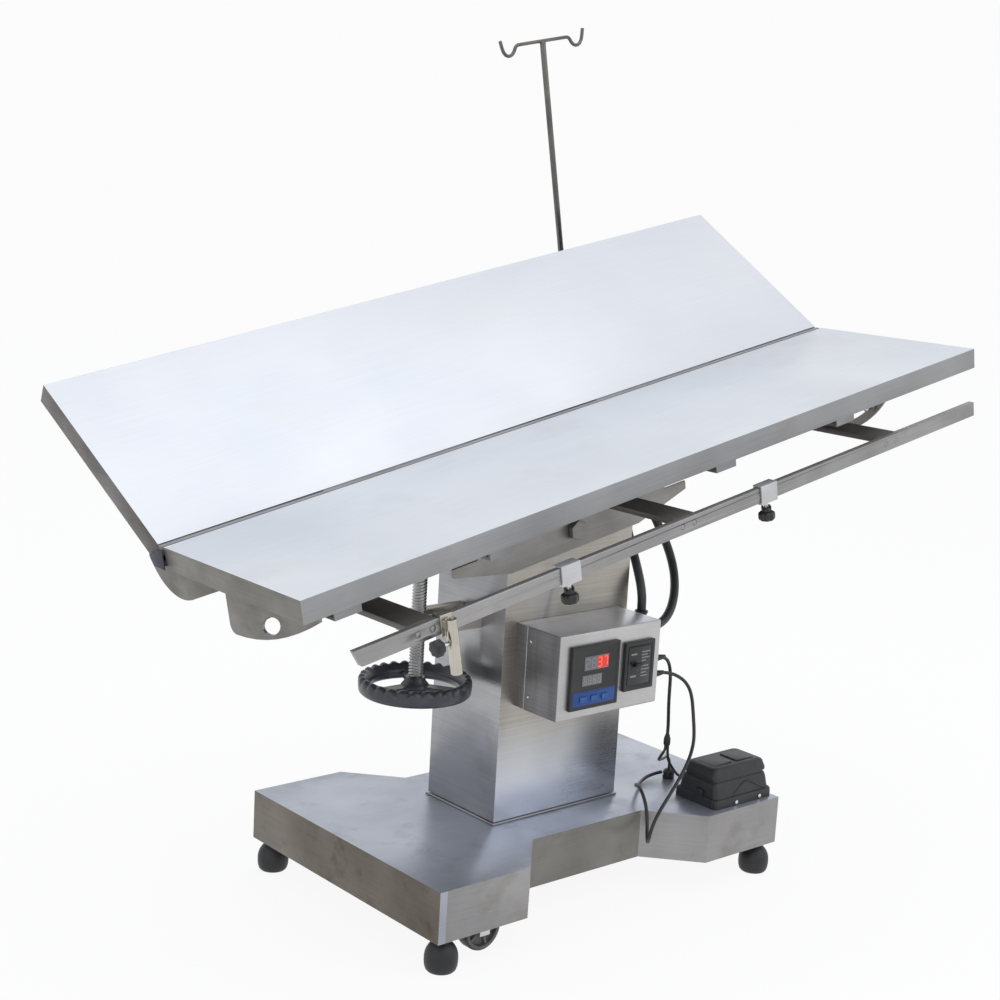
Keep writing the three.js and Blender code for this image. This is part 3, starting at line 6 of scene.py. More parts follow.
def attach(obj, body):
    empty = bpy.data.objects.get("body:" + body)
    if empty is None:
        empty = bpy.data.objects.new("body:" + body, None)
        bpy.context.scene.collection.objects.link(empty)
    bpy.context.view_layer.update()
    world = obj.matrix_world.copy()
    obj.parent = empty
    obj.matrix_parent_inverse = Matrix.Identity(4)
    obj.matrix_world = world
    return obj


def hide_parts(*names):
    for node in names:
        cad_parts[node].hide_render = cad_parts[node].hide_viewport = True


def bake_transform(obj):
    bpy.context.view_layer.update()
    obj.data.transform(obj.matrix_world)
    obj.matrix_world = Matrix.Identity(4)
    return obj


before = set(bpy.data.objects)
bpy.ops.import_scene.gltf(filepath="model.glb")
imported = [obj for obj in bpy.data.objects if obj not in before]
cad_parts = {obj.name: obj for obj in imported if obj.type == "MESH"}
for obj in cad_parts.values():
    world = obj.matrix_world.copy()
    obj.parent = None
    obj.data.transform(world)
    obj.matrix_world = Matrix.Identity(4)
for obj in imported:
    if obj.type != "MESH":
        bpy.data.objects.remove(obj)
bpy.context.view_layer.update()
bpy.context.scene.view_settings.view_transform = "Standard"
print("frame loaded")


# places that the CAD gives, in metres
place = {
    "shift": -0.003092,        # column middle to row origin, along x
    "pin": (-0.003092, 0.0, 0.568),
    "tilt": -11.5,             # degrees about y
    "topOnPin": (0.015, 0.0, 0.152),
    "hingeOff": 0.0056,
    "hingeDrop": 0.0026,
    "backRaise": 35.0,
    "baseTop": 0.126,
}
tiltFrame = Matrix.Translation(place["pin"]) @ Matrix.Rotation(math.radians(place["tilt"]), 4, "Y")
topFrame = tiltFrame @ Matrix.Translation(place["topOnPin"])
backHinge = Matrix.Translation((0, place["hingeOff"], -place["hingeDrop"]))
backFrame = topFrame @ backHinge @ Matrix.Rotation(math.radians(place["backRaise"]), 4, "X") @ backHinge.inverted()
columnFrame = Matrix.Translation((place["shift"], 0, 0))


# camera at the photo's angle
view = {"spot": (-1.7854, -1.9617, 1.1021), "azimuth": -40.96, "elevation": 10.86, "roll": 3.25, "lens": 63.756}


def makeCamera():
    a, e, r = (math.radians(view[k]) for k in ("azimuth", "elevation", "roll"))
    back = Vector((math.sin(a) * math.cos(e), -math.cos(a) * math.cos(e), math.sin(e)))
    right = (-back).cross(Vector((0, 0, 1))).normalized()
    up = right.cross(-back)
    side = right * math.cos(r) + up * math.sin(r)
    over = up * math.cos(r) - right * math.sin(r)
    bpy.ops.object.camera_add(location=view["spot"])
    cam = bpy.context.object
    cam.name = "photoCamera"
    cam.matrix_world = Matrix.Translation(view["spot"]) @ Matrix((side, over, back)).transposed().to_4x4()
    cam.data.sensor_width = 36
    cam.data.lens = view["lens"]
    bpy.context.scene.camera = cam


makeCamera()
print("camera set")


# small helpers
def pickOnly(obj):
    bpy.ops.object.select_all(action="DESELECT")
    obj.select_set(True)
    bpy.context.view_layer.objects.active = obj


def applyMods(obj):
    pickOnly(obj)
    for name in [m.name for m in obj.modifiers]:
        bpy.ops.object.modifier_apply(modifier=name)


def settle(obj, where=None):          # puts a piece at its place and makes that its mesh
    pickOnly(obj)
    if where is not None:
        obj.matrix_world = where @ obj.matrix_world
    bpy.ops.object.transform_apply(location=True, rotation=True, scale=True)


def roundEdges(obj, width, segments=2, angle=32):
    m = obj.modifiers.new("edges", "BEVEL")
    m.width = width
    m.segments = segments
    m.limit_method = "ANGLE"
    m.angle_limit = math.radians(angle)
    m.harden_normals = False
    m.use_clamp_overlap = True
    applyMods(obj)


def smooth(obj, angle=35):
    pickOnly(obj)
    bpy.ops.object.shade_smooth_by_angle(angle=math.radians(angle))


def editSelect(obj, test, kind="FACE"):   # selects faces or points of a mesh by a test on place and normal
    pickOnly(obj)
    bpy.ops.object.mode_set(mode="EDIT")
    bpy.ops.mesh.select_mode(type=kind)
    bpy.ops.mesh.select_all(action="DESELECT")
    bpy.ops.object.mode_set(mode="OBJECT")
    if kind == "FACE":
        for p in obj.data.polygons:
            p.select = bool(test(p.center, p.normal))
    elif kind == "EDGE":
        pts = obj.data.vertices
        for e in obj.data.edges:
            e.select = bool(test(pts[e.vertices[0]].co, pts[e.vertices[1]].co))
    else:
        for v in obj.data.vertices:
            v.select = bool(test(v.co, v.normal))
    bpy.ops.object.mode_set(mode="EDIT")


def leaveEdit():
    bpy.ops.object.mode_set(mode="OBJECT")


def outward(obj):
    pickOnly(obj)
    bpy.ops.object.mode_set(mode="EDIT")
    bpy.ops.mesh.select_all(action="SELECT")
    bpy.ops.mesh.remove_doubles(threshold=0.00001)
    bpy.ops.mesh.normals_make_consistent(inside=False)
    bpy.ops.object.mode_set(mode="OBJECT")


def joinAll(pieces):
    bpy.ops.object.select_all(action="DESELECT")
    for p in pieces:
        p.select_set(True)
    bpy.context.view_layer.objects.active = pieces[0]
    bpy.ops.object.join()
    return bpy.context.object


def dress(obj, *finishes):
    obj.data.materials.clear()
    for f in finishes:
        obj.data.materials.append(f)


def done(obj, name, body, nodes=()):
    obj.name = name
    obj.data.name = name
    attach(obj, body)
    if nodes:
        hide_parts(*nodes)
    return obj


# shared effects
def socketIn(group, name, kind, value=None):
    s = group.interface.new_socket(name=name, in_out="INPUT", socket_type=kind)
    if value is not None:
        s.default_value = value


def socketOut(group, name, kind):
    group.interface.new_socket(name=name, in_out="OUTPUT", socket_type=kind)


def startGroup(name):
    group = bpy.data.node_groups.new(name, "ShaderNodeTree")
    return group, group.nodes, group.links


def makeGrainGroup():             # brushed streaks over soft blotches
    group, nodes, links = startGroup("sheetGrain")
    socketIn(group, "Streak Vector", "NodeSocketVector")
    socketIn(group, "Place Vector", "NodeSocketVector")
    socketIn(group, "Dark", "NodeSocketColor", (0.4, 0.4, 0.4, 1))
    socketIn(group, "Light", "NodeSocketColor", (0.6, 0.6, 0.6, 1))
    socketIn(group, "Stain", "NodeSocketColor", (0.5, 0.46, 0.4, 1))
    socketIn(group, "Blotch Size", "NodeSocketFloat", 6.0)
    socketIn(group, "Stain Amount", "NodeSocketFloat", 0.15)
    socketIn(group, "Rough Low", "NodeSocketFloat", 0.3)
    socketIn(group, "Rough High", "NodeSocketFloat", 0.45)
    socketOut(group, "Color", "NodeSocketColor")
    socketOut(group, "Roughness", "NodeSocketFloat")
    socketOut(group, "Height", "NodeSocketFloat")
    gin = nodes.new("NodeGroupInput")
    gout = nodes.new("NodeGroupOutput")
    streak = nodes.new("ShaderNodeTexNoise")
    streak.inputs["Scale"].default_value = 1.0
    streak.inputs["Detail"].default_value = 5.0
    streak.inputs["Roughness"].default_value = 0.7
    blotch = nodes.new("ShaderNodeTexNoise")
    blotch.inputs["Detail"].default_value = 3.0
    cloud = nodes.new("ShaderNodeTexNoise")
    cloud.inputs["Detail"].default_value = 4.0
    cloud.inputs["Roughness"].default_value = 0.6
    bigger = nodes.new("ShaderNodeMath")
    bigger.operation = "MULTIPLY"
    bigger.inputs[1].default_value = 2.7
    links.new(gin.outputs["Streak Vector"], streak.inputs["Vector"])
    links.new(gin.outputs["Place Vector"], blotch.inputs["Vector"])
    links.new(gin.outputs["Place Vector"], cloud.inputs["Vector"])
    links.new(gin.outputs["Blotch Size"], blotch.inputs["Scale"])
    links.new(gin.outputs["Blotch Size"], bigger.inputs[0])
    links.new(bigger.outputs[0], cloud.inputs["Scale"])
    both = nodes.new("ShaderNodeMix")
    both.data_type = "FLOAT"
    both.inputs["Factor"].default_value = 0.68
    links.new(streak.outputs["Fac"], both.inputs["A"])
    links.new(blotch.outputs["Fac"], both.inputs["B"])
    spread = nodes.new("ShaderNodeMapRange")
    spread.inputs["From Min"].default_value = 0.34
    spread.inputs["From Max"].default_value = 0.66
    links.new(both.outputs["Result"], spread.inputs["Value"])
    tone = nodes.new("ShaderNodeMix")
    tone.data_type = "RGBA"
    links.new(spread.outputs["Result"], tone.inputs["Factor"])
    links.new(gin.outputs["Dark"], tone.inputs["A"])
    links.new(gin.outputs["Light"], tone.inputs["B"])
    patch = nodes.new("ShaderNodeMapRange")
    patch.inputs["From Min"].default_value = 0.55
    patch.inputs["From Max"].default_value = 0.75
    links.new(cloud.outputs["Fac"], patch.inputs["Value"])
    howMuch = nodes.new("ShaderNodeMath")
    howMuch.operation = "MULTIPLY"
    links.new(patch.outputs["Result"], howMuch.inputs[0])
    links.new(gin.outputs["Stain Amount"], howMuch.inputs[1])
    marked = nodes.new("ShaderNodeMix")
    marked.data_type = "RGBA"
    links.new(howMuch.outputs[0], marked.inputs["Factor"])
    links.new(tone.outputs["Result"], marked.inputs["A"])
    links.new(gin.outputs["Stain"], marked.inputs["B"])
    rough = nodes.new("ShaderNodeMapRange")
    links.new(spread.outputs["Result"], rough.inputs["Value"])
    links.new(gin.outputs["Rough High"], rough.inputs["To Min"])
    links.new(gin.outputs["Rough Low"], rough.inputs["To Max"])
    links.new(marked.outputs["Result"], gout.inputs["Color"])
    links.new(rough.outputs["Result"], gout.inputs["Roughness"])
    links.new(streak.outputs["Fac"], gout.inputs["Height"])
    return group


def makeMouldGroup():             # fine grain and dust of moulded plastic and rubber
    group, nodes, links = startGroup("mouldedSkin")
    socketIn(group, "Vector", "NodeSocketVector")
    socketIn(group, "Base", "NodeSocketColor", (0.02, 0.02, 0.02, 1))
    socketIn(group, "Dust", "NodeSocketColor", (0.2, 0.2, 0.2, 1))
    socketIn(group, "Dust Amount", "NodeSocketFloat", 0.2)
    socketIn(group, "Grain Size", "NodeSocketFloat", 900.0)
    socketIn(group, "Rough Low", "NodeSocketFloat", 0.4)
    socketIn(group, "Rough High", "NodeSocketFloat", 0.6)
    socketOut(group, "Color", "NodeSocketColor")
    socketOut(group, "Roughness", "NodeSocketFloat")
    socketOut(group, "Height", "NodeSocketFloat")
    gin = nodes.new("NodeGroupInput")
    gout = nodes.new("NodeGroupOutput")
    grain = nodes.new("ShaderNodeTexNoise")
    grain.inputs["Detail"].default_value = 2.0
    links.new(gin.outputs["Vector"], grain.inputs["Vector"])
    links.new(gin.outputs["Grain Size"], grain.inputs["Scale"])
    dust = nodes.new("ShaderNodeTexNoise")
    dust.inputs["Scale"].default_value = 38.0
    dust.inputs["Detail"].default_value = 5.0
    links.new(gin.outputs["Vector"], dust.inputs["Vector"])
    patch = nodes.new("ShaderNodeMapRange")
    patch.inputs["From Min"].default_value = 0.45
    patch.inputs["From Max"].default_value = 0.8
    links.new(dust.outputs["Fac"], patch.inputs["Value"])
    howMuch = nodes.new("ShaderNodeMath")
    howMuch.operation = "MULTIPLY"
    links.new(patch.outputs["Result"], howMuch.inputs[0])
    links.new(gin.outputs["Dust Amount"], howMuch.inputs[1])
    tone = nodes.new("ShaderNodeMix")
    tone.data_type = "RGBA"
    links.new(howMuch.outputs[0], tone.inputs["Factor"])
    links.new(gin.outputs["Base"], tone.inputs["A"])
    links.new(gin.outputs["Dust"], tone.inputs["B"])
    rough = nodes.new("ShaderNodeMapRange")
    links.new(dust.outputs["Fac"], rough.inputs["Value"])
    links.new(gin.outputs["Rough Low"], rough.inputs["To Min"])
    links.new(gin.outputs["Rough High"], rough.inputs["To Max"])
    links.new(tone.outputs["Result"], gout.inputs["Color"])
    links.new(rough.outputs["Result"], gout.inputs["Roughness"])
    links.new(grain.outputs["Fac"], gout.inputs["Height"])
    return group


sheetGrain = makeGrainGroup()
mouldedSkin = makeMouldGroup()


def startMaterial(name):
    mat = bpy.data.materials.new(name)
    mat.use_nodes = True
    tree = mat.node_tree
    return mat, tree.nodes, tree.links, tree.nodes["Principled BSDF"]


def bumpFrom(nodes, links, height, shader, strength, distance):
    bump = nodes.new("ShaderNodeBump")
    bump.inputs["Strength"].default_value = strength
    bump.inputs["Distance"].default_value = distance
    links.new(height, bump.inputs["Height"])
    links.new(bump.outputs["Normal"], shader.inputs["Normal"])


def makeSteel(name, look):
    mat, nodes, links, shader = startMaterial(name)
    where = nodes.new("ShaderNodeTexCoord")
    turn = nodes.new("ShaderNodeMapping")
    turn.inputs["Rotation"].default_value = [math.radians(v) for v in look.get("turn", (0, 0, 0))]
    stretch = nodes.new("ShaderNodeMapping")
    stretch.inputs["Scale"].default_value = look["streak"]
    grain = nodes.new("ShaderNodeGroup")
    grain.node_tree = sheetGrain
    links.new(where.outputs["Object"], turn.inputs["Vector"])
    links.new(turn.outputs["Vector"], stretch.inputs["Vector"])
    links.new(stretch.outputs["Vector"], grain.inputs["Streak Vector"])
    spread = nodes.new("ShaderNodeMapping")
    spread.inputs["Scale"].default_value = look.get("spread", (1, 1, 1))
    links.new(turn.outputs["Vector"], spread.inputs["Vector"])
    links.new(spread.outputs["Vector"], grain.inputs["Place Vector"])
    for key, socket in (("dark", "Dark"), ("light", "Light"), ("stain", "Stain")):
        grain.inputs[socket].default_value = (*look[key], 1)
    grain.inputs["Blotch Size"].default_value = look["blotch"]
    grain.inputs["Stain Amount"].default_value = look["stained"]
    grain.inputs["Rough Low"].default_value = look["rough"][0]
    grain.inputs["Rough High"].default_value = look["rough"][1]
    colour = grain.outputs["Color"]
    if "foot" in look:                 # paler towards the foot: painted reflection of the base shining back
        height = nodes.new("ShaderNodeSeparateXYZ")
        fade = nodes.new("ShaderNodeMapRange")
        fade.inputs["From Min"].default_value, fade.inputs["From Max"].default_value = look["footHeights"]
        tint = nodes.new("ShaderNodeMix")
        tint.data_type = "RGBA"
        tint.inputs[7].default_value = (*look["foot"], 1)
        links.new(where.outputs["Object"], height.inputs["Vector"])
        links.new(height.outputs["Z"], fade.inputs["Value"])
        links.new(fade.outputs["Result"], tint.inputs["Factor"])
        links.new(colour, tint.inputs[6])
        colour = tint.outputs[2]
    links.new(colour, shader.inputs["Base Color"])
    links.new(grain.outputs["Roughness"], shader.inputs["Roughness"])
    shader.inputs["Metallic"].default_value = look["metal"]
    bumpFrom(nodes, links, grain.outputs["Height"], shader, look.get("bump", 0.06), 0.0004)
    return mat


def makeMoulded(name, look):
    mat, nodes, links, shader = startMaterial(name)
    where = nodes.new("ShaderNodeTexCoord")
    skin = nodes.new("ShaderNodeGroup")
    skin.node_tree = mouldedSkin
    links.new(where.outputs["Object"], skin.inputs["Vector"])
    skin.inputs["Base"].default_value = (*look["base"], 1)
    skin.inputs["Dust"].default_value = (*look["dust"], 1)
    skin.inputs["Dust Amount"].default_value = look["dusty"]
    skin.inputs["Grain Size"].default_value = look.get("grain", 900.0)
    skin.inputs["Rough Low"].default_value = look["rough"][0]
    skin.inputs["Rough High"].default_value = look["rough"][1]
    links.new(skin.outputs["Color"], shader.inputs["Base Color"])
    links.new(skin.outputs["Roughness"], shader.inputs["Roughness"])
    shader.inputs["Metallic"].default_value = look.get("metal", 0.0)
    if "glow" in look:
        shader.inputs["Emission Color"].default_value = (*look["glow"], 1)
        shader.inputs["Emission Strength"].default_value = look["glowing"]
    bumpFrom(nodes, links, skin.outputs["Height"], shader, look.get("bump", 0.05), 0.0003)
    return mat


# finishes, one look each; lit tops and darker shaded flanges, sides and ends of the same steel are painted light and
# shade by facing
wingLitTopLook = {"dark": (0.69, 0.73, 0.80), "light": (0.83, 0.865, 0.92), "stain": (0.66, 0.66, 0.68), "stained": 0.35,
               "blotch": 3.0, "streak": (6, 420, 420), "turn": (0, 11.5, 0), "rough": (0.3, 0.44), "metal": 0.3}
backLitTopLook = {"dark": (0.75, 0.785, 0.85), "light": (0.84, 0.865, 0.92), "stain": (0.82, 0.82, 0.80), "stained": 0.3,
               "blotch": 3.0, "streak": (6, 420, 420), "turn": (0, 11.5, 0), "rough": (0.3, 0.44), "metal": 0.3}
wingShadedSideLook = {"dark": (0.265, 0.267, 0.28), "light": (0.375, 0.378, 0.39), "stain": (0.25, 0.22, 0.19), "stained": 0.25,
                "blotch": 5.0, "streak": (8, 500, 500), "turn": (0, 11.5, 0), "rough": (0.3, 0.45), "metal": 0.6}
wingShadedEndLook = {"dark": (0.155, 0.146, 0.132), "light": (0.245, 0.235, 0.218), "stain": (0.12, 0.10, 0.08), "stained": 0.5,
               "blotch": 14.0, "streak": (400, 12, 400), "turn": (0, 11.5, 0), "rough": (0.34, 0.5), "metal": 0.55}
backShadedEndLook = {"dark": (0.125, 0.116, 0.112), "light": (0.20, 0.19, 0.186), "stain": (0.11, 0.09, 0.07), "stained": 0.4,
               "blotch": 14.0, "streak": (400, 12, 400), "turn": (0, 11.5, 0), "rough": (0.34, 0.5), "metal": 0.55}
railLook = {"dark": (0.26, 0.26, 0.265), "light": (0.39, 0.385, 0.39), "stain": (0.2, 0.18, 0.15), "stained": 0.3,
            "blotch": 6.0, "streak": (7, 600, 600), "turn": (0, 11.5, 0), "rough": (0.26, 0.42), "metal": 0.75}
# base sheet: lighter top, darker sides and dark brownish left end are painted light and shade by facing
baseLitTopLook = {"dark": (0.39, 0.43, 0.51), "light": (0.55, 0.59, 0.68), "stain": (0.26, 0.27, 0.29), "stained": 0.6,
               "blotch": 6.0, "streak": (7, 420, 420), "rough": (0.27, 0.4), "metal": 0.7}
# painted highlight: lighter bluish fold band for the base sides near the left end
foldHighlightLook = {"dark": (0.34, 0.355, 0.41), "light": (0.45, 0.465, 0.525), "stain": (0.3, 0.3, 0.3), "stained": 0.2,
            "blotch": 9.0, "streak": (9, 9, 520), "rough": (0.25, 0.4), "metal": 0.7}
baseShadedSideLook = {"dark": (0.25, 0.245, 0.25), "light": (0.375, 0.37, 0.375), "stain": (0.2, 0.17, 0.135), "stained": 0.5,
                "blotch": 7.0, "streak": (9, 9, 520), "rough": (0.3, 0.46), "metal": 0.65}
baseShadedEndLook = {"dark": (0.12, 0.103, 0.082), "light": (0.20, 0.178, 0.15), "stain": (0.075, 0.058, 0.04), "stained": 0.8,
               "blotch": 9.0, "streak": (9, 9, 520), "rough": (0.32, 0.48), "metal": 0.6}
# painted shade: darker colour for the recessed middle front face of the base
recessShadeLook = {"dark": (0.165, 0.16, 0.148), "light": (0.25, 0.244, 0.228), "stain": (0.13, 0.11, 0.085), "stained": 0.6,
              "blotch": 9.0, "streak": (8, 500, 500), "rough": (0.34, 0.5), "metal": 0.6}
# column: front a lit copy with a painted reflection of the base at its foot; sides and inner sleeve a shaded copy,
# painted light and shade
columnLitFrontLook = {"dark": (0.28, 0.265, 0.235), "light": (0.53, 0.505, 0.465), "stain": (0.26, 0.275, 0.31), "stained": 0.45,
              "blotch": 3.0, "streak": (6, 6, 480), "rough": (0.24, 0.38), "metal": 0.9, "spread": (1.6, 1.6, 0.5), "foot": (0.62, 0.65, 0.72), "footHeights": (0.29, 0.175)}
columnShadeLook = {"dark": (0.29, 0.295, 0.315), "light": (0.49, 0.49, 0.50), "stain": (0.26, 0.25, 0.235), "stained": 0.4,
                 "blotch": 4.0, "streak": (6, 6, 480), "rough": (0.26, 0.4), "metal": 0.85, "spread": (1, 1, 1.4)}
# control box: top lighter as lit, ends darker as shaded, copies of one sheet: painted light and shade
boxFrontLook = {"dark": (0.47, 0.465, 0.47), "light": (0.60, 0.595, 0.60), "stain": (0.42, 0.39, 0.35), "stained": 0.3,
                "blotch": 8.0, "streak": (12, 420, 420), "rough": (0.28, 0.42), "metal": 0.7}
boxLitTopLook = {"dark": (0.80, 0.83, 0.92), "light": (0.92, 0.94, 1.0), "stain": (0.6, 0.6, 0.64), "stained": 0.25,
              "blotch": 8.0, "streak": (12, 420, 420), "rough": (0.28, 0.42), "metal": 0.6}
boxShadedEndLook = {"dark": (0.15, 0.15, 0.155), "light": (0.30, 0.295, 0.295), "stain": (0.12, 0.10, 0.08), "stained": 0.4,
              "blotch": 9.0, "streak": (12, 12, 420), "rough": (0.28, 0.42), "metal": 0.5, "spread": (1, 2.4, 0.3)}
armLook = {"dark": (0.10, 0.095, 0.09), "light": (0.17, 0.16, 0.15), "stain": (0.13, 0.115, 0.1), "stained": 0.25,
           "blotch": 12.0, "streak": (300, 14, 300), "rough": (0.4, 0.55), "metal": 0.5}
shadePlateLook = dict(armLook, dark=(0.045, 0.044, 0.065), light=(0.077, 0.074, 0.108))   # painted shade: dark colour for the shadowed end of the hinge
# parts under the table: a darker copy of the sheet steel, painted shade
underShadeLook = {"dark": (0.20, 0.195, 0.185), "light": (0.32, 0.31, 0.295), "stain": (0.17, 0.15, 0.125), "stained": 0.3,
             "blotch": 8.0, "streak": (10, 400, 400), "turn": (0, 11.5, 0), "rough": (0.32, 0.5), "metal": 0.7}
bandLook = {"dark": (0.50, 0.51, 0.53), "light": (0.64, 0.65, 0.67), "stain": (0.45, 0.44, 0.42), "stained": 0.2,
            "blotch": 20.0, "streak": (60, 60, 900), "rough": (0.26, 0.4), "metal": 0.7}
socketLook = {"dark": (0.42, 0.395, 0.34), "light": (0.58, 0.555, 0.49), "stain": (0.28, 0.25, 0.2), "stained": 0.3,
              "blotch": 16.0, "streak": (120, 120, 14), "turn": (0, 11.5, 0), "rough": (0.18, 0.32), "metal": 0.9}
brightLook = {"dark": (0.55, 0.55, 0.555), "light": (0.72, 0.72, 0.73), "stain": (0.45, 0.44, 0.42), "stained": 0.2,
              "blotch": 20.0, "streak": (60, 60, 900), "rough": (0.16, 0.3), "metal": 0.95}
poleLook = {"dark": (0.10, 0.098, 0.094), "light": (0.17, 0.167, 0.16), "stain": (0.2, 0.2, 0.2), "stained": 0.2,
            "blotch": 20.0, "streak": (300, 300, 30), "rough": (0.2, 0.34), "metal": 0.85}
screwLook = {"dark": (0.33, 0.33, 0.33), "light": (0.52, 0.52, 0.52), "stain": (0.2, 0.18, 0.16), "stained": 0.3,
             "blotch": 25.0, "streak": (80, 80, 900), "rough": (0.22, 0.38), "metal": 0.9}

# lit and shaded copies of the same steels below carry painted light and shade
wingLitTop = makeSteel("wingLitTopSheet", wingLitTopLook)
backLitTop = makeSteel("backLitTopSheet", backLitTopLook)
wingShadedSide = makeSteel("wingShadedFlange", wingShadedSideLook)
wingShadedEnd = makeSteel("wingShadedEnd", wingShadedEndLook)
backShadedEnd = makeSteel("backShadedEnd", backShadedEndLook)
railSteel = makeSteel("railBar", railLook)
baseLitTopSteel = makeSteel("baseLitTopSheet", baseLitTopLook)
foldHighlightSteel = makeSteel("baseFoldHighlight", foldHighlightLook)
baseShadedSideSteel = makeSteel("baseShadedSide", baseShadedSideLook)
baseShadedEndSteel = makeSteel("baseShadedEnd", baseShadedEndLook)
recessShadeSteel = makeSteel("baseRecessShade", recessShadeLook)
columnLitFront = makeSteel("columnLitFrontSheet", columnLitFrontLook)
columnShade = makeSteel("columnShade", columnShadeLook)
boxFront = makeSteel("boxFront", boxFrontLook)
boxLitTop = makeSteel("boxLitTop", boxLitTopLook)
boxShadedEnd = makeSteel("boxShadedEnd", boxShadedEndLook)
armSteel = makeSteel("armBar", armLook)
shadePlateSteel = makeSteel("hingeShade", shadePlateLook)
underShadeSteel = makeSteel("underFrameShade", underShadeLook)
bandSteel = makeSteel("clampBand", bandLook)
socketSteel = makeSteel("poleSocket", socketLook)
brightSteel = makeSteel("brightSteel", brightLook)
poleSteel = makeSteel("poleSteel", poleLook)
screwSteel = makeSteel("screwSteel", screwLook)

mouldLooks = {
    "blackMould": {"base": (0.013, 0.0135, 0.015), "dust": (0.06, 0.06, 0.065), "dusty": 0.35, "rough": (0.34, 0.52), "bump": 0.06},
    "pedalMould": {"base": (0.016, 0.018, 0.020), "dust": (0.05, 0.053, 0.058), "dusty": 0.5, "rough": (0.36, 0.55), "grain": 1400.0, "bump": 0.12},
    "wheelMould": {"base": (0.05, 0.052, 0.066), "dust": (0.14, 0.14, 0.168), "dusty": 0.45, "rough": (0.24, 0.4), "bump": 0.06},
    "blackRubber": {"base": (0.014, 0.0145, 0.017), "dust": (0.08, 0.08, 0.085), "dusty": 0.3, "rough": (0.4, 0.6), "bump": 0.05},
    "cableSkin": {"base": (0.02, 0.02, 0.021), "dust": (0.07, 0.07, 0.072), "dusty": 0.3, "rough": (0.35, 0.5), "grain": 1600.0},
    "hoseSkin": {"base": (0.035, 0.036, 0.04), "dust": (0.1, 0.1, 0.105), "dusty": 0.4, "rough": (0.34, 0.5), "grain": 1200.0},
    "wheelGrey": {"base": (0.13, 0.13, 0.13), "dust": (0.3, 0.29, 0.28), "dusty": 0.5, "rough": (0.45, 0.65)},
    "boardSkin": {"base": (0.2, 0.2, 0.2), "dust": (0.33, 0.32, 0.31), "dusty": 0.4, "rough": (0.4, 0.6), "metal": 0.4},
    "keyBlue": {"base": (0.01, 0.07, 0.30), "dust": (0.02, 0.13, 0.42), "dusty": 0.4, "rough": (0.36, 0.5)},
    "keyPale": {"base": (0.02, 0.12, 0.42), "dust": (0.05, 0.2, 0.52), "dusty": 0.5, "rough": (0.34, 0.5)},
    "windowGrey": {"base": (0.2, 0.205, 0.215), "dust": (0.3, 0.3, 0.31), "dusty": 0.4, "rough": (0.16, 0.26)},
    "dimFigure": {"base": (0.36, 0.365, 0.38), "dust": (0.46, 0.46, 0.47), "dusty": 0.4, "rough": (0.2, 0.3)},
    "redGlow": {"base": (0.34, 0.012, 0.008), "dust": (0.45, 0.03, 0.02), "dusty": 0.4, "rough": (0.2, 0.3), "glow": (0.75, 0.05, 0.03), "glowing": 0.6},
    "redFigure": {"base": (0.8, 0.12, 0.07), "dust": (0.85, 0.2, 0.12), "dusty": 0.3, "rough": (0.2, 0.3), "glow": (1.0, 0.16, 0.1), "glowing": 0.75},
    "breakerPane": {"base": (0.022, 0.023, 0.027), "dust": (0.05, 0.05, 0.055), "dusty": 0.3, "rough": (0.1, 0.18), "bump": 0.0},
    "paleMark": {"base": (0.3, 0.31, 0.33), "dust": (0.42, 0.42, 0.43), "dusty": 0.5, "rough": (0.4, 0.55)},
}
mouldings = {name: makeMoulded(name, look) for name, look in mouldLooks.items()}
blackMould, pedalMould, wheelMould = (mouldings[k] for k in ("blackMould", "pedalMould", "wheelMould"))
blackRubber, cableSkin, hoseSkin = (mouldings[k] for k in ("blackRubber", "cableSkin", "hoseSkin"))
wheelGrey, boardSkin, keyBlue, keyPale = (mouldings[k] for k in ("wheelGrey", "boardSkin", "keyBlue", "keyPale"))
windowGrey, dimFigure, redGlow, redFigure = (mouldings[k] for k in ("windowGrey", "dimFigure", "redGlow", "redFigure"))
breakerPane, paleMark = mouldings["breakerPane"], mouldings["paleMark"]
print("finishes ready")


# copies of CAD solids, merged and given rolled edges
def softCopy(node, name, body, width, finishes, segments=2, angle=32, choose=None, flat=1.0):
    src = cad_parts[node]
    obj = src.copy()
    obj.data = src.data.copy()
    bpy.context.collection.objects.link(obj)
    obj.parent = None
    obj.hide_render = False
    obj.hide_viewport = False
    for key in list(obj.keys()):
        del obj[key]
    pickOnly(obj)
    bpy.ops.object.mode_set(mode="EDIT")
    bpy.ops.mesh.select_all(action="SELECT")
    bpy.ops.mesh.remove_doubles(threshold=0.00002)
    bpy.ops.mesh.dissolve_limited(angle_limit=math.radians(flat))
    bpy.ops.object.mode_set(mode="OBJECT")
    dress(obj, *finishes)
    if choose is not None:
        for p in obj.data.polygons:
            p.material_index = choose(p.center, p.normal)
    if width > 0:
        roundEdges(obj, width, segments, angle)
    smooth(obj, 38)
    return done(obj, name, body, (node,))


def baseLitShadedZones(c, n):                 # lit top, shaded sides and ends of the base: painted light and shade by facing
    if n.z > 0.7:
        return 0
    return 2 if n.x < -0.9 else 1


def wingLitShadedZones(where):
    turnBack = where.to_3x3().inverted()
    backTo = where.inverted()

    def zones(c, n):                  # lit top, shaded flange and ends of a wing: painted light and shade by facing; the hinge knuckles go with the flange
        m = turnBack @ n
        if abs((backTo @ c).y) < 0.0084:
            return 1
        if m.z > 0.7:
            return 0
        return 2 if abs(m.x) > 0.5 else 1
    return zones


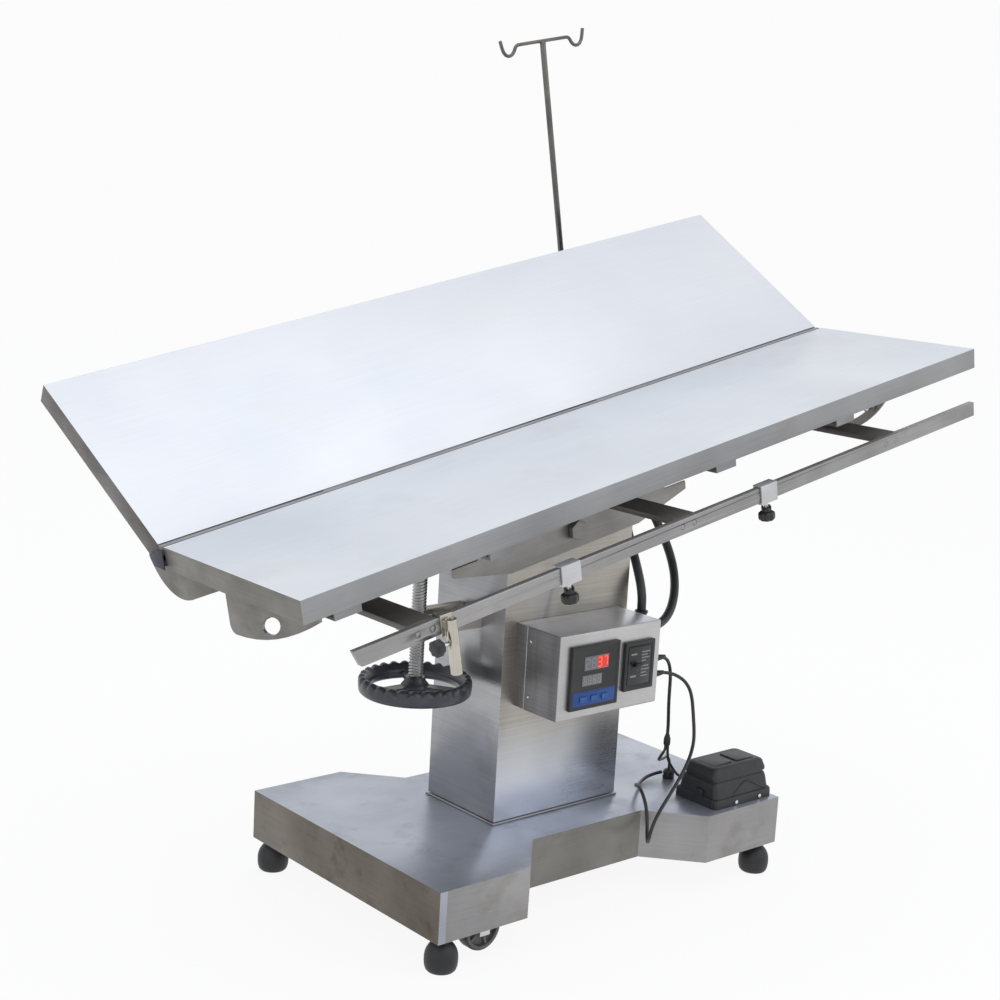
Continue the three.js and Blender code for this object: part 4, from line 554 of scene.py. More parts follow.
# cables and hoses: routes as in the CAD, from the outlet to the far end, millimetres about the column
def samplePath(points, count):        # centripetal spline through the route's points
    pts = [Vector(p) for p in points]
    first = pts[0] * 2 - pts[1]
    last = pts[-1] * 2 - pts[-2]
    knots = [first] + pts + [last]
    out = []
    for i in range(1, len(knots) - 2):
        p0, p1, p2, p3 = knots[i - 1:i + 3]
        t = [0.0]
        for a, b in ((p0, p1), (p1, p2), (p2, p3)):
            t.append(t[-1] + max((b - a).length ** 0.5, 1e-6))
        for k in range(count):
            u = t[1] + (t[2] - t[1]) * k / count
            a1 = p0 * ((t[1] - u) / (t[1] - t[0])) + p1 * ((u - t[0]) / (t[1] - t[0]))
            a2 = p1 * ((t[2] - u) / (t[2] - t[1])) + p2 * ((u - t[1]) / (t[2] - t[1]))
            a3 = p2 * ((t[3] - u) / (t[3] - t[2])) + p3 * ((u - t[2]) / (t[3] - t[2]))
            b1 = a1 * ((t[2] - u) / (t[2] - t[0])) + a2 * ((u - t[0]) / (t[2] - t[0]))
            b2 = a2 * ((t[3] - u) / (t[3] - t[1])) + a3 * ((u - t[1]) / (t[3] - t[1]))
            out.append(b1 * ((t[2] - u) / (t[2] - t[1])) + b2 * ((u - t[1]) / (t[2] - t[1])))
    out.append(pts[-1])
    return [(p * 0.001) + Vector((place["shift"], 0, 0)) for p in out]


def makeTube(name, path, radius):     # round tube along a path, closed at both ends
    curve = bpy.data.curves.new(name, "CURVE")
    curve.dimensions = "3D"
    curve.bevel_depth = radius
    curve.bevel_resolution = 4
    curve.use_fill_caps = True
    line = curve.splines.new("POLY")
    line.points.add(len(path) - 1)
    for point, p in zip(line.points, path):
        point.co = (*p, 1)
    obj = bpy.data.objects.new(name, curve)
    bpy.context.collection.objects.link(obj)
    pickOnly(obj)
    bpy.ops.object.convert(target="MESH")
    obj = bpy.context.object
    outward(obj)
    smooth(obj, 60)
    return obj


cords = {
    "lift": {"r": 2.7, "node": "lift_cable", "points": [
        (116.4, -160, 372), (128.3, -159.8, 371.1), (138.8, -158.6, 365.8), (146.8, -156.6, 357.1),
        (152.7, -154, 347), (157.4, -151.2, 336.4), (161.5, -148.1, 325.6), (165.4, -144.6, 314.8),
        (169.5, -140.9, 304.1), (173.9, -136.9, 293.8), (178.8, -132.6, 283.7), (184.1, -128, 274),
        (189.6, -123.4, 264.4), (195, -118.9, 254.7), (199.8, -115, 244.5), (202.9, -112.5, 233.2),
        (203.5, -112, 221.3)]},
    "gland": {"r": 2.25, "node": "gland_cable", "points": [
        (200.8, -112, 202.6), (200.4, -111.6, 196), (198, -106, 184), (207, -94, 173), (228, -84, 168),
        (246, -76, 165), (255, -72.5, 156), (256, -72, 142.4)]},
    "pedal": {"r": 2.25, "node": "pedal_cable", "points": [
        (206.2, -112, 202.6), (206.7, -111.8, 195), (214, -108, 176), (225, -109, 159), (228, -117, 151),
        (228, -127.6, 150)]},
    "supply": {"r": 2.7, "node": "supply_cable", "points": [
        (116.4, -160, 347), (132.5, -160.2, 346.2), (148.1, -161.3, 342.6), (162.8, -163, 336.2),
        (175.6, -165.4, 326.9), (184.7, -168.3, 314), (188.6, -171.4, 298.7), (189.2, -174.6, 283),
        (188.6, -178.2, 267.3), (187, -182.3, 251.8), (183.2, -186.8, 236.8), (175.9, -191.2, 223.2),
        (166, -195.4, 211.2), (154.7, -199.2, 200.5), (142.7, -202.5, 190.2), (130.4, -205.3, 180.1),
        (118.1, -207.8, 170.1), (105.7, -210.2, 160.1), (93.5, -212.5, 149.8), (82.4, -214.4, 138.4),
        (74.6, -214.8, 124.4), (74.4, -211.1, 109), (81.4, -202.7, 97.5), (91.8, -191.3, 93.3),
        (102, -180, 97.8), (109, -171.9, 109.6), (112, -166.6, 124.5), (113.5, -160.4, 139.2),
        (116.6, -149.9, 150.8), (123, -136.1, 155.6), (131.6, -122.6, 154), (141.3, -110.9, 148.8),
        (151.8, -100.7, 142.2), (163.2, -91.1, 136.1), (175.7, -81.9, 131.8), (188.9, -72.9, 129.9),
        (203, -65.2, 130), (218.2, -60.2, 131.3), (234.1, -60.1, 133.2), (248.3, -63.1, 135)]},
    "frontHose": {"r": 7.0, "node": "front_heater_hose", "points": [
        (116.4, -130, 412), (139.3, -129.6, 412.7), (161.1, -126.3, 418.7), (179.8, -119.4, 430.2),
        (195.2, -110, 444.4), (207.8, -98.8, 460), (217.3, -86.5, 476.8), (223.1, -73.6, 494.9), (224.8, -61, 514),
        (222.4, -49.5, 533.7), (217.3, -39.2, 553.6), (211.1, -30.2, 573.8), (205, -22.5, 594.6),
        (199.5, -16.6, 616.1), (194.8, -13, 638.3), (190.6, -11.4, 660.9), (186.7, -11, 683.5)]},
    "backHose": {"r": 7.0, "node": "back_heater_hose", "points": [
        (136, -100, 432), (136.2, -98.8, 450.9), (137, -93.6, 469), (138.3, -85.5, 486.1), (140.3, -75.9, 502.2),
        (142.7, -65.5, 517.9), (145.6, -54.9, 533.3), (149, -44.5, 548.8), (152.8, -34.7, 564.5), (157, -25.6, 580.6),
        (161.7, -17.4, 597), (166.9, -10.2, 613.9), (172.7, -4, 631), (178.9, 1.5, 648.4), (185.3, 6.4, 665.9),
        (191.8, 11, 683.5)]},
}


def layCord(key, name, finish, body=None, across=None):
    facts = cords[key]
    path = samplePath(facts["points"], 8)
    radius = facts["r"] * 0.001
    obj = makeTube(name, path, radius)
    dress(obj, finish)
    obj.name = name
    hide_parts(facts["node"])
    if across:
        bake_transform(obj)
    else:
        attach(obj, body)


layCord("lift", "liftCable", cableSkin, across=("base", "lift", (0.199, -0.112, 0.225), (0.125, -0.16, 0.368)))
layCord("gland", "glandStrand", cableSkin, body="base")
layCord("pedal", "pedalStrand", cableSkin, body="base")
layCord("supply", "supplyCable", cableSkin, across=("base", "lift", (0.13, -0.205, 0.18), (0.125, -0.16, 0.345)))
layCord("frontHose", "frontHeaterHose", hoseSkin, across=("lift", "top", (0.2, -0.075, 0.5), (0.186, -0.011, 0.66)))
layCord("backHose", "backHeaterHose", hoseSkin, across=("lift", "top", (0.138, -0.08, 0.49), (0.186, 0.01, 0.665)))
print("cables and hoses laid")


# starts for new pieces, millimetres in, metres out
def at(x, y, z):                      # place about the column
    return Matrix.Translation((x * 0.001 + place["shift"], y * 0.001, z * 0.001))


def on(where, x, y, z):               # place in one of the tilted frames
    return where @ Matrix.Translation((x * 0.001, y * 0.001, z * 0.001))


alongX = Matrix.Rotation(math.radians(90), 4, "Y")      # +z turned to +x
alongMinusX = Matrix.Rotation(math.radians(-90), 4, "Y")
alongMinusY = Matrix.Rotation(math.radians(90), 4, "X")  # +z turned to -y


def slab(x, y, z, edge=0.6, segments=2):     # block from three spans, edges rolled
    bpy.ops.object.select_all(action="DESELECT")
    mid = [(s[0] + s[1]) * 0.0005 for s in (x, y, z)]
    bpy.ops.mesh.primitive_cube_add(size=1, location=mid)
    obj = bpy.context.object
    obj.scale = [abs(s[1] - s[0]) * 0.001 for s in (x, y, z)]
    settle(obj)
    if edge:
        roundEdges(obj, edge * 0.001, segments)
    return obj


def stackUp(obj, levels):                    # extrudes the start face through [across, deep, height] levels
    pickOnly(obj)
    bpy.ops.object.mode_set(mode="EDIT")
    bpy.ops.mesh.select_mode(type="FACE")
    bpy.ops.mesh.select_all(action="SELECT")
    for (a0, d0, z0), (a1, d1, z1) in zip(levels, levels[1:]):
        bpy.ops.mesh.extrude_region_move(TRANSFORM_OT_translate={"value": (0, 0, (z1 - z0) * 0.001)})
        bpy.ops.transform.resize(value=(a1 / a0, d1 / d0, 1), center_override=(0, 0, z1 * 0.001))
    leaveEdit()
    outward(obj)
    return obj


def turnPiece(profile, steps=40):            # turned about z through [radius, height] points
    bpy.ops.object.select_all(action="DESELECT")
    r, z = profile[0]
    bpy.ops.mesh.primitive_circle_add(vertices=steps, radius=r * 0.001, fill_type="NGON", location=(0, 0, z * 0.001))
    obj = bpy.context.object
    settle(obj)
    return stackUp(obj, [(p, p, h) for p, h in profile])


def roundedStack(half, corner, levels, arc=6):   # rounded rectangle stacked through scaled levels
    bpy.ops.object.select_all(action="DESELECT")
    bpy.ops.mesh.primitive_circle_add(vertices=4 * arc, radius=0.01, fill_type="NGON")
    obj = bpy.context.object
    a, b = half
    spots = []
    for quarter, (sx, sy) in enumerate(((1, 1), (-1, 1), (-1, -1), (1, -1))):
        for k in range(arc):
            t = math.radians(90 * quarter + 90 * k / (arc - 1))
            spots.append((sx * (a - corner) + corner * math.cos(t), sy * (b - corner) + corner * math.sin(t)))
    kx, ky, z = levels[0]
    ring = obj.data.polygons[0].vertices
    for v, (x, y) in zip(ring, spots):
        obj.data.vertices[v].co = (x * kx * 0.001, y * ky * 0.001, z * 0.001)
    return stackUp(obj, levels)


def lobes(obj, count, depth, low, high):     # finger lobes round a turned knob
    for v in obj.data.vertices:
        r = math.hypot(v.co.x, v.co.y)
        if low * 0.001 <= v.co.z <= high * 0.001 and r > 0.004:
            k = 1 - depth * (0.5 - 0.5 * math.cos(count * math.atan2(v.co.y, v.co.x)))
            v.co.x *= k
            v.co.y *= k
    obj.data.update()


def cloneTo(obj, where):                     # copy with a mesh of its own, at its place
    new = obj.copy()
    new.data = obj.data.copy()
    bpy.context.collection.objects.link(new)
    settle(new, where)
    return new


def drop(*objs):
    for o in objs:
        bpy.data.objects.remove(o, do_unlink=True)


def coat(obj, finish, angle=40):             # one finish, smooth sides
    dress(obj, finish)
    smooth(obj, angle)
    return obj


def repaint(obj, test, index):               # gives chosen faces another of the piece's finishes
    for p in obj.data.polygons:
        if test(p.center, p.normal):
            p.material_index = index


# base, column and under-frame sheets
# base: lit top, shaded sides and end by facing, painted light and shade
base = softCopy("base_shell", "baseShell", "base", 0.0026, (baseLitTopSteel, baseShadedSideSteel, baseShadedEndSteel, foldHighlightSteel, recessShadeSteel, brightSteel), 3, choose=baseLitShadedZones)
editSelect(base, lambda c, n: True)
bpy.ops.mesh.bisect(plane_co=(-0.3365, 0, 0), plane_no=(1, 0, 0))
leaveEdit()
# painted highlight: the sides left of the fold line take the lighter fold band
repaint(base, lambda c, n: abs(n.z) < 0.6 and n.x > -0.95 and abs(n.y) > 0.25 and c.x < -0.3365, 3)
# painted highlight: the sloped top-edge bevels take bright steel as thin bright lines
repaint(base, lambda c, n: 0.3 < n.z < 0.95, 5)
# painted shade: the recessed middle front face is darker
repaint(base, lambda c, n: n.y < -0.9 and c.y > -0.2, 4)
# inner sleeve in the shaded column copy: painted shade
flange = softCopy("inner_sleeve", "innerSleeve", "base", 0.0006, (columnShade,))
# column front lit, sides shaded, by facing: painted light and shade
sleeve = softCopy("outer_sleeve", "columnSleeve", "lift", 0.0014, (columnLitFront, columnShade), 3, choose=lambda c, n: 1 if abs(n.x) > 0.5 else 0)
# saddle and backbone under the table in the darker copy: painted shade
saddle = softCopy("saddle", "saddle", "top", 0.0009, (underShadeSteel,))
backbone = softCopy("backbone", "backbone", "top", 0.0007, (underShadeSteel,))
# spine: flange and ends take the shaded wing copies, painted shade
spine = softCopy("spine", "spine", "top", 0.0004, (wingShadedSide, wingShadedEnd), 1, choose=lambda c, n: 1 if abs(n.x) > 0.5 else 0)
# wings: lit top, shaded flanges and ends by facing, painted light and shade
frontWing = softCopy("front_wing", "frontWing", "front_wing", 0.0018, (wingLitTop, wingShadedSide, wingShadedEnd), 3, choose=wingLitShadedZones(topFrame))
backWing = softCopy("back_wing", "backWing", "back_wing", 0.0018, (backLitTop, wingShadedSide, backShadedEnd), 3, choose=wingLitShadedZones(backFrame))
backToTop = topFrame.inverted()
earHole = {"y": -0.207, "z": -0.068, "half": (0.018, 0.0125), "across": (1.216, -0.152), "up": (-0.347, 1.01)}
for v in frontWing.data.vertices:              # the hole of the grip ear, opened to the photo's round one
    q = backToTop @ v.co
    dy, dz = q.y - earHole["y"], q.z - earHole["z"]
    if q.x < -0.618 and (dy / earHole["half"][0]) ** 2 + (dz / earHole["half"][1]) ** 2 < 1.6:
        (a, b), (c, d) = earHole["across"], earHole["up"]
        v.co = topFrame @ Vector((q.x, earHole["y"] + a * dy + b * dz, earHole["z"] + c * dy + d * dz))
for v in backbone.data.vertices:               # left end of the channel cut at a slant
    q = backToTop @ v.co
    if q.x < -0.59 and q.z < -0.05:
        v.co = topFrame @ Vector((q.x + 0.08, q.y, q.z))
frontRail = softCopy("front_rail", "frontRail", "top", 0.0007, (railSteel,))
for end in ("left", "mid", "right"):
    softCopy("rail_arm_" + end, "railArm" + end.capitalize(), "top", 0.0007, (armSteel, railSteel), choose=lambda c, n: 1 if c.y < -0.341 else 0)
backRail = softCopy("back_rail", "backRail", "top", 0.0007, (armSteel,))
for n, side in (("front", "Front"), ("back", "Back")):
    softCopy(n + "_heater_board", "heaterBoard" + side, n + "_wing", 0.0015, (boardSkin,))
    softCopy("pole_clamp_" + n, "poleClamp" + side, "pole_clamp_" + n, 0.0005, (socketSteel,))
    softCopy("caster_bracket_" + n, "casterBracket" + side, "base", 0.0005, (brightSteel,))
for i, side in ((1, "left"), (2, "right")):
    softCopy("rail_clamp_%d" % i, "railClamp%d" % i, "rail_clamp_" + side, 0.0005, (bandSteel,))
# pin, yoke, nut and head under the table in the darker copy: painted shade
softCopy("pivot_pin", "pivotPin", "top", 0.0008, (underShadeSteel,))
softCopy("screw_yoke", "screwYoke", "yoke", 0.0007, (underShadeSteel,))
softCopy("tilt_nut", "tiltNut", "nut", 0.0007, (underShadeSteel,))
softCopy("pivot_head", "pivotHead", "lift", 0.0008, (underShadeSteel,))
softCopy("actuator_body", "actuatorBody", "base", 0.001, (armSteel,))
softCopy("actuator_rod", "actuatorRod", "lift", 0.0006, (brightSteel,))
shadePlateFacts = {"x": -653.5, "thick": 1.6, "outline": [(-7, -5), (7, -5), (14, -11), (28.6, -15.6), (28, -20), (24, -26), (20, -31), (-7, -31)],
              "stub": ((-652.5, -626), (-3, 3), (-28, -12))}


def makeShadePlate():                             # dark plate of painted shade that closes the left end of the hinge, where the gap lies in shadow
    f = shadePlateFacts
    bpy.ops.mesh.primitive_circle_add(vertices=len(f["outline"]), radius=0.01, fill_type="NGON")
    plate = bpy.context.object
    for v, (y, z) in zip(plate.data.vertices, f["outline"]):
        v.co = (y * 0.001, z * 0.001, 0)
    stackUp(plate, [(1, 1, 0), (1, 1, f["thick"])])
    roundEdges(plate, 0.0004)
    settle(plate, on(topFrame, f["x"], 0, 0) @ Matrix(((0, 0, 1, 0), (1, 0, 0, 0), (0, 1, 0, 0), (0, 0, 0, 1))))
    stub = slab(*f["stub"], 0.5)
    settle(stub, topFrame)
    cheek = joinAll([plate, stub])
    coat(cheek, shadePlateSteel, 35)
    done(cheek, "spineShadePlate", "top")


makeShadePlate()
print("sheets rolled")


# ball feet
footFacts = {"across": 322, "deep": 210, "profile": [
    (15.5, 0), (19.2, 0.9), (21.6, 3.4), (23.3, 8.5), (24, 15), (24, 20.5), (23.4, 26), (21.8, 31.2), (19, 36.2),
    (15.6, 40.2), (12.6, 42.8), (11.2, 44.2), (11, 49.2), (10.4, 49.6), (6, 49.7), (6, 67)]}


def makeFeet():
    ball = turnPiece(footFacts["profile"], 48)
    coat(ball, blackRubber, 50)
    spots = [(sx, sy) for sx in (-1, 1) for sy in (-1, 1)]
    for i, (sx, sy) in enumerate(spots, 1):
        foot = cloneTo(ball, at(sx * footFacts["across"], sy * footFacts["deep"], 0))
        done(foot, "ballFoot%d" % i, "base", ("foot_%d" % i,))
    drop(ball)


# caster wheels: dark tread, grey spoked body
casterFacts = {"x": -249, "y": 201, "axle": 42, "rim": 32, "spokes": 5}


def makeCasters():
    tyre = turnPiece([(29.4, -11), (31.2, -9.8), (32, -7), (32, 7), (31.2, 9.8), (29.4, 11)], 56)
    editSelect(tyre, lambda c, n: abs(n.z) > 0.9)
    bpy.ops.mesh.inset(thickness=0.0045)
    bpy.ops.mesh.inset(thickness=0.0008, depth=-0.006)
    bpy.ops.mesh.inset(thickness=0.0145)
    bpy.ops.mesh.inset(thickness=0.0008, depth=0.0065)
    leaveEdit()
    parts = [tyre]
    for i in range(casterFacts["spokes"]):
        turn = Matrix.Rotation(2 * math.pi * i / casterFacts["spokes"], 4, "Z")
        rib = slab((7, 25.2), (-2.1, 2.1), (-9.6, 9.6), 0.8)
        settle(rib, turn)
        parts.append(rib)
    for end in (-1, 1):
        cap = turnPiece([(4.6, 0), (4.6, 1.2), (3.8, 2), (2, 2.2)], 24)
        settle(cap, Matrix.Translation((0, 0, end * 0.0112)) @ Matrix.Rotation(0 if end > 0 else math.pi, 4, "X"))
        parts.append(cap)
    wheel = joinAll(parts)
    dress(wheel, wheelGrey, blackRubber)
    repaint(wheel, lambda c, n: math.hypot(c.x, c.y) > 0.0285, 1)
    smooth(wheel, 35)
    for sy, end in ((-1, "front"), (1, "back")):
        spot = at(casterFacts["x"], sy * casterFacts["y"], casterFacts["axle"]) @ alongMinusY
        new = cloneTo(wheel, spot)
        done(new, "casterWheel" + end.capitalize(), "caster_" + end, ("caster_wheel_" + end,))
    drop(wheel)


makeFeet()
makeCasters()
print("feet and casters made")


# control box: rear tray, folded cover, screws, outlets
boxFacts = {"x": (-101, 104), "z": (309, 437), "back": -79.3, "split": -103, "front": -174.6, "sheet": 2.0}


def makeBox():
    x, z = boxFacts["x"], boxFacts["z"]
    rear = slab((x[0] + 0.5, x[1] - 0.5), (boxFacts["split"], boxFacts["back"]), (z[0] + 0.5, z[1] - 0.5), 1.2, 3)
    cover = slab(x, (boxFacts["front"], boxFacts["split"] - 0.7), z, 0)
    editSelect(cover, lambda c, n: n.y > 0.9)
    bpy.ops.mesh.delete(type="FACE")
    leaveEdit()
    roundEdges(cover, 0.0022, 4)
    wall = cover.modifiers.new("wall", "SOLIDIFY")
    wall.thickness = boxFacts["sheet"] * 0.001
    wall.offset = -1
    applyMods(cover)
    cutters = [slab((-78.5, 12.5), (-190, -160), (325.5, 416.5), 0), slab((31.1, 84.1), (-190, -160), (340.5, 407.5), 0)]
    for tool in cutters:
        hole = cover.modifiers.new("opening", "BOOLEAN")
        hole.operation = "DIFFERENCE"
        hole.solver = "EXACT"
        hole.object = tool
    applyMods(cover)
    drop(*cutters)
    seam = slab((x[0] + 1.4, x[1] - 1.4), (boxFacts["split"] - 2, boxFacts["split"] + 1), (z[0] + 1.4, z[1] - 1.4), 0.4)
    # cover and tray: lit top and shaded ends by facing, painted light and shade
    dress(cover, boxFront, boxLitTop, boxShadedEnd)
    repaint(cover, lambda c, n: n.z > 0.6, 1)
    repaint(cover, lambda c, n: abs(n.x) > 0.75, 2)
    dress(rear, boxLitTop, boxShadedEnd)
    repaint(rear, lambda c, n: abs(n.x) > 0.75, 1)
    dress(seam, blackMould)
    heads = []
    for sx, face in ((-1, x[0]), (1, x[1])):
        for h in (z[0] + 22, z[1] - 22):
            head = turnPiece([(2.6, 0), (2.5, 0.7), (1.9, 1.2), (0.8, 1.4)], 20)
            settle(head, at(face, boxFacts["split"] - 9, h) @ (alongX if sx > 0 else alongMinusX))
            heads.append(head)
    screws = coat(joinAll(heads), brightSteel)
    for piece in (rear, cover, seam):
        settle(piece, at(0, 0, 0))
        smooth(piece, 35)
    done(rear, "boxTray", "lift", ("control_box",))
    done(cover, "boxCover", "lift", ("front_panel",))
    done(seam, "boxSeam", "lift")
    done(screws, "boxScrews", "lift")


outletFacts = {"cable": (347, 372), "hose": (-130, 412), "elbow": (-100, 412), "face": 104}


def makeOutlets():
    glands = []
    for h in outletFacts["cable"]:
        nut = turnPiece([(6.2, 0), (6.2, 4.6), (5.6, 5.2)], 6)
        boot = turnPiece([(5.4, 4.8), (5.6, 7), (5, 11), (4.2, 15), (3.6, 22), (3.1, 28), (2.75, 28.4)], 32)
        for r in range(4):
            ring = turnPiece([(4.9 - 0.35 * r, 0), (5.2 - 0.35 * r, 0.6), (4.9 - 0.35 * r, 1.6)], 32)
            settle(ring, Matrix.Translation((0, 0, (10 + 3.4 * r) * 0.001)))
            glands.append(ring)
        glands += [nut, boot]
        for p in glands[-6:]:
            settle(p, at(outletFacts["face"], -160, h) @ alongX)
    coat(joinAll(glands), blackMould)
    done(bpy.context.object, "cableGlands", "lift")
    y, h = outletFacts["hose"]
    straight = turnPiece([(10.4, 0), (10.4, 3), (9.4, 3.4), (9.4, 10.5), (8.6, 11.6), (7.2, 12)], 40)
    settle(straight, at(outletFacts["face"], y, h) @ alongX)
    y, h = outletFacts["elbow"]
    bend = [(104 - 1, y, h), (112, y, h), (120, y, h)]
    bend += [(120 + 16 * math.sin(t), y, h + 16 * (1 - math.cos(t))) for t in [math.radians(9 * k) for k in range(1, 11)]]
    elbow = makeTube("elbow", [at(*p).translation for p in bend], 0.0092)
    collar = turnPiece([(10.4, 0), (10.4, 3), (9.2, 3.4)], 40)
    settle(collar, at(outletFacts["face"], y, h) @ alongX)
    lip = turnPiece([(9.3, -1), (10.3, 0), (10.3, 3), (8.6, 4), (7.3, 4.2)], 40)
    settle(lip, at(136, y, h + 15))
    fittings = coat(joinAll([straight, elbow, collar, lip]), hoseSkin, 45)
    done(fittings, "hoseFittings", "lift")


# temperature controller: bezel, two windows with figures, blue strip, keys
meterFacts = {"x": -33, "z": 371, "size": 96, "face": -180.9, "back": -174.9, "upper": "2837", "lower": "8.8."}
segments = {"a": (0, 1, 1), "b": (1, 0.5, 0), "c": (1, -0.5, 0), "d": (0, -1, 1), "e": (-1, -0.5, 0), "f": (-1, 0.5, 0), "g": (0, 0, 1)}
figures = {"0": "abcdef", "1": "bc", "2": "abged", "3": "abgcd", "4": "fgbc", "5": "afgcd", "6": "afgcde", "7": "abc", "8": "abcdefg", "9": "abcdfg"}


def makeFigure(sign, x, z, wide, tall, y):   # bars of one figure, proud of the window
    bars = []
    for key in figures[sign]:
        u, v, level = segments[key]
        cx, cz = x + u * wide / 2, z + v * tall / 2
        half = (wide / 2 - 0.5, 0.75) if level else (0.75, tall / 4 - 0.5)
        bars.append(slab((cx - half[0], cx + half[0]), (y - 0.35, y), (cz - half[1], cz + half[1]), 0.2, 1))
    return bars


def makeMeter():
    f = meterFacts
    half = f["size"] / 2
    bezel = slab((f["x"] - half, f["x"] + half), (f["face"], f["back"]), (f["z"] - half, f["z"] + half), 0)
    editSelect(bezel, lambda c, n: n.y < -0.9)
    bpy.ops.mesh.inset(thickness=0.004)
    bpy.ops.mesh.inset(thickness=0.001, depth=-0.0012)
    leaveEdit()
    roundEdges(bezel, 0.0009, 3)
    can = slab((f["x"] - 45, f["x"] + 45), (f["back"], f["back"] + 60), (f["z"] - 45, f["z"] + 45), 1.5)
    body = joinAll([bezel, can])
    dress(body, blackMould)
    floor = f["face"] + 1.2
    upper = slab((f["x"] - 22, f["x"] + 26), (floor - 0.5, floor + 1), (f["z"] + 10, f["z"] + 31), 0.4)
    lower = slab((f["x"] - 25, f["x"] + 14), (floor - 0.5, floor + 1), (f["z"] - 13, f["z"] + 3), 0.4)
    strip = slab((f["x"] - 42.6, f["x"] + 42.6), (floor - 0.4, floor + 1), (f["z"] - 42.6, f["z"] - 22), 0.4)
    line = slab((f["x"] - 42.6, f["x"] + 42.6), (floor - 0.3, floor + 1), (f["z"] - 21.4, f["z"] - 20.4), 0.2)
    dim, lit = [], []
    for i, sign in enumerate(f["upper"]):
        bars = makeFigure(sign, f["x"] - 15.6 + 11.8 * i, f["z"] + 20.5, 6.6, 14, floor - 0.5)
        (dim if i < 2 else lit).extend(bars)
    for i in range(4):
        dim.extend(makeFigure("8", f["x"] - 19.5 + 9.3 * i, f["z"] - 5, 5.2, 10.4, floor - 0.5))
    parts = {
        "meterBody": ([body], blackMould, "temperature_controller"), "meterUpperWindow": ([upper], windowGrey, None),
        "meterLowerWindow": ([lower], windowGrey, None), "meterStrip": ([strip, line], keyBlue, None),
        "meterDimFigures": (dim, dimFigure, None), "meterLitFigures": (lit, redFigure, None)}
    for name, (objs, finish, node) in parts.items():
        piece = joinAll(objs)
        settle(piece, at(0, 0, 0))
        coat(piece, finish, 35)
        done(piece, name, "lift", (node,) if node else ())
    redBack = slab((f["x"] + 2.4, f["x"] + 25), (floor - 0.62, floor - 0.4), (f["z"] + 11.4, f["z"] + 29.6), 0.05, 1)
    settle(redBack, at(0, 0, 0))
    coat(redBack, redGlow)
    done(redBack, "meterRedGlow", "lift")


keyFacts = {"spots": (-55, -33, -11), "z": 338, "half": (6.5, 4), "face": -182.1, "back": -177.9, "bodies": ("left", "mid", "right")}


def makeKeys():
    f = keyFacts
    for i, x in enumerate(f["spots"]):
        key = slab((x - f["half"][0], x + f["half"][0]), (f["face"], f["back"]), (f["z"] - f["half"][1], f["z"] + f["half"][1]), 0)
        editSelect(key, lambda c, n: n.y < -0.9)
        bpy.ops.mesh.inset(thickness=0.0012, depth=-0.0004)
        leaveEdit()
        roundEdges(key, 0.0005, 3)
        settle(key, at(0, 0, 0))
        coat(key, keyPale, 35)
        done(key, "meterKey%d" % (i + 1), "key_" + f["bodies"][i], ("key_%d" % (i + 1),))


# breaker: frame, glossy window, toggle, blank marks
breakerFacts = {"x": 57.6, "z": 374, "half": (30.5, 37.5), "face": -180.9, "back": -174.9, "axis": -175.9, "rest": -18, "toggleShift": -9}


def makeBreaker():
    f = breakerFacts
    x, z = f["x"], f["z"]
    rim = slab((x - f["half"][0], x + f["half"][0]), (f["face"], f["back"]), (z - f["half"][1], z + f["half"][1]), 0)
    editSelect(rim, lambda c, n: n.y < -0.9)
    bpy.ops.mesh.inset(thickness=0.0055)
    bpy.ops.mesh.inset(thickness=0.0012, depth=-0.002)
    leaveEdit()
    roundEdges(rim, 0.0011, 3)
    can = slab((x - 26.5, x + 26.5), (f["back"], f["back"] + 55), (z - 33.5, z + 33.5), 1.5)
    body = joinAll([rim, can])
    floor = f["face"] + 2
    pane = slab((x - 23, x + 23), (floor - 1.1, floor - 0.1), (z - 29, z + 29), 0.5)
    well = slab((x + f["toggleShift"] - 8, x + f["toggleShift"] + 8), (floor - 1.5, floor), (z - 11, z + 11), 0.6)
    marks = []
    for i, (wide, h) in enumerate(((17, 20), (12, 15.5), (16, 11), (9, 6.5), (15, -2), (17, -7), (11, -12), (14, -17))):
        marks.append(slab((x + 4, x + 4 + wide), (floor - 1.3, floor - 0.9), (z + h - 0.9, z + h + 0.9), 0.15, 1))
    for h in (18, -16):
        marks.append(slab((x - 18, x - 6), (floor - 1.3, floor - 0.9), (z + h - 1.4, z + h + 1.4), 0.2, 1))
    parts = {"breakerBody": ([body], blackMould, ("breaker",)), "breakerWindow": ([pane], breakerPane, ()),
             "breakerWell": ([well], blackMould, ()), "breakerMarks": (marks, paleMark, ())}
    for name, (objs, finish, nodes) in parts.items():
        piece = joinAll(objs)
        settle(piece, at(0, 0, 0))
        coat(piece, finish, 35)
        done(piece, name, "lift", nodes)
    barrel = turnPiece([(5.2, -7), (6, -6.4), (6, 6.4), (5.2, 7)], 28)
    settle(barrel, alongX)
    lever = slab((-6.6, 6.6), (-15, 0), (-2.5, 2.5), 1.2, 3)
    grips = [slab((-6, 6), (-15.2, -14.2), (h - 0.35, h + 0.35), 0.15, 1) for h in (-1.2, 0, 1.2)]
    toggle = joinAll([barrel, lever] + grips)
    coat(toggle, blackMould, 35)
    settle(toggle, at(x + f["toggleShift"], f["axis"], z) @ Matrix.Rotation(math.radians(f["rest"]), 4, "X"))
    done(toggle, "breakerToggle", "toggle", ("breaker_toggle",))


makeBox()
makeOutlets()
makeMeter()
makeKeys()
makeBreaker()
print("control box made")


# foot switch: flanged housing with an arched rib, rocking lid, screws
pedalFacts = {"x": 275, "y": -175, "z": 126, "half": (65, 45)}


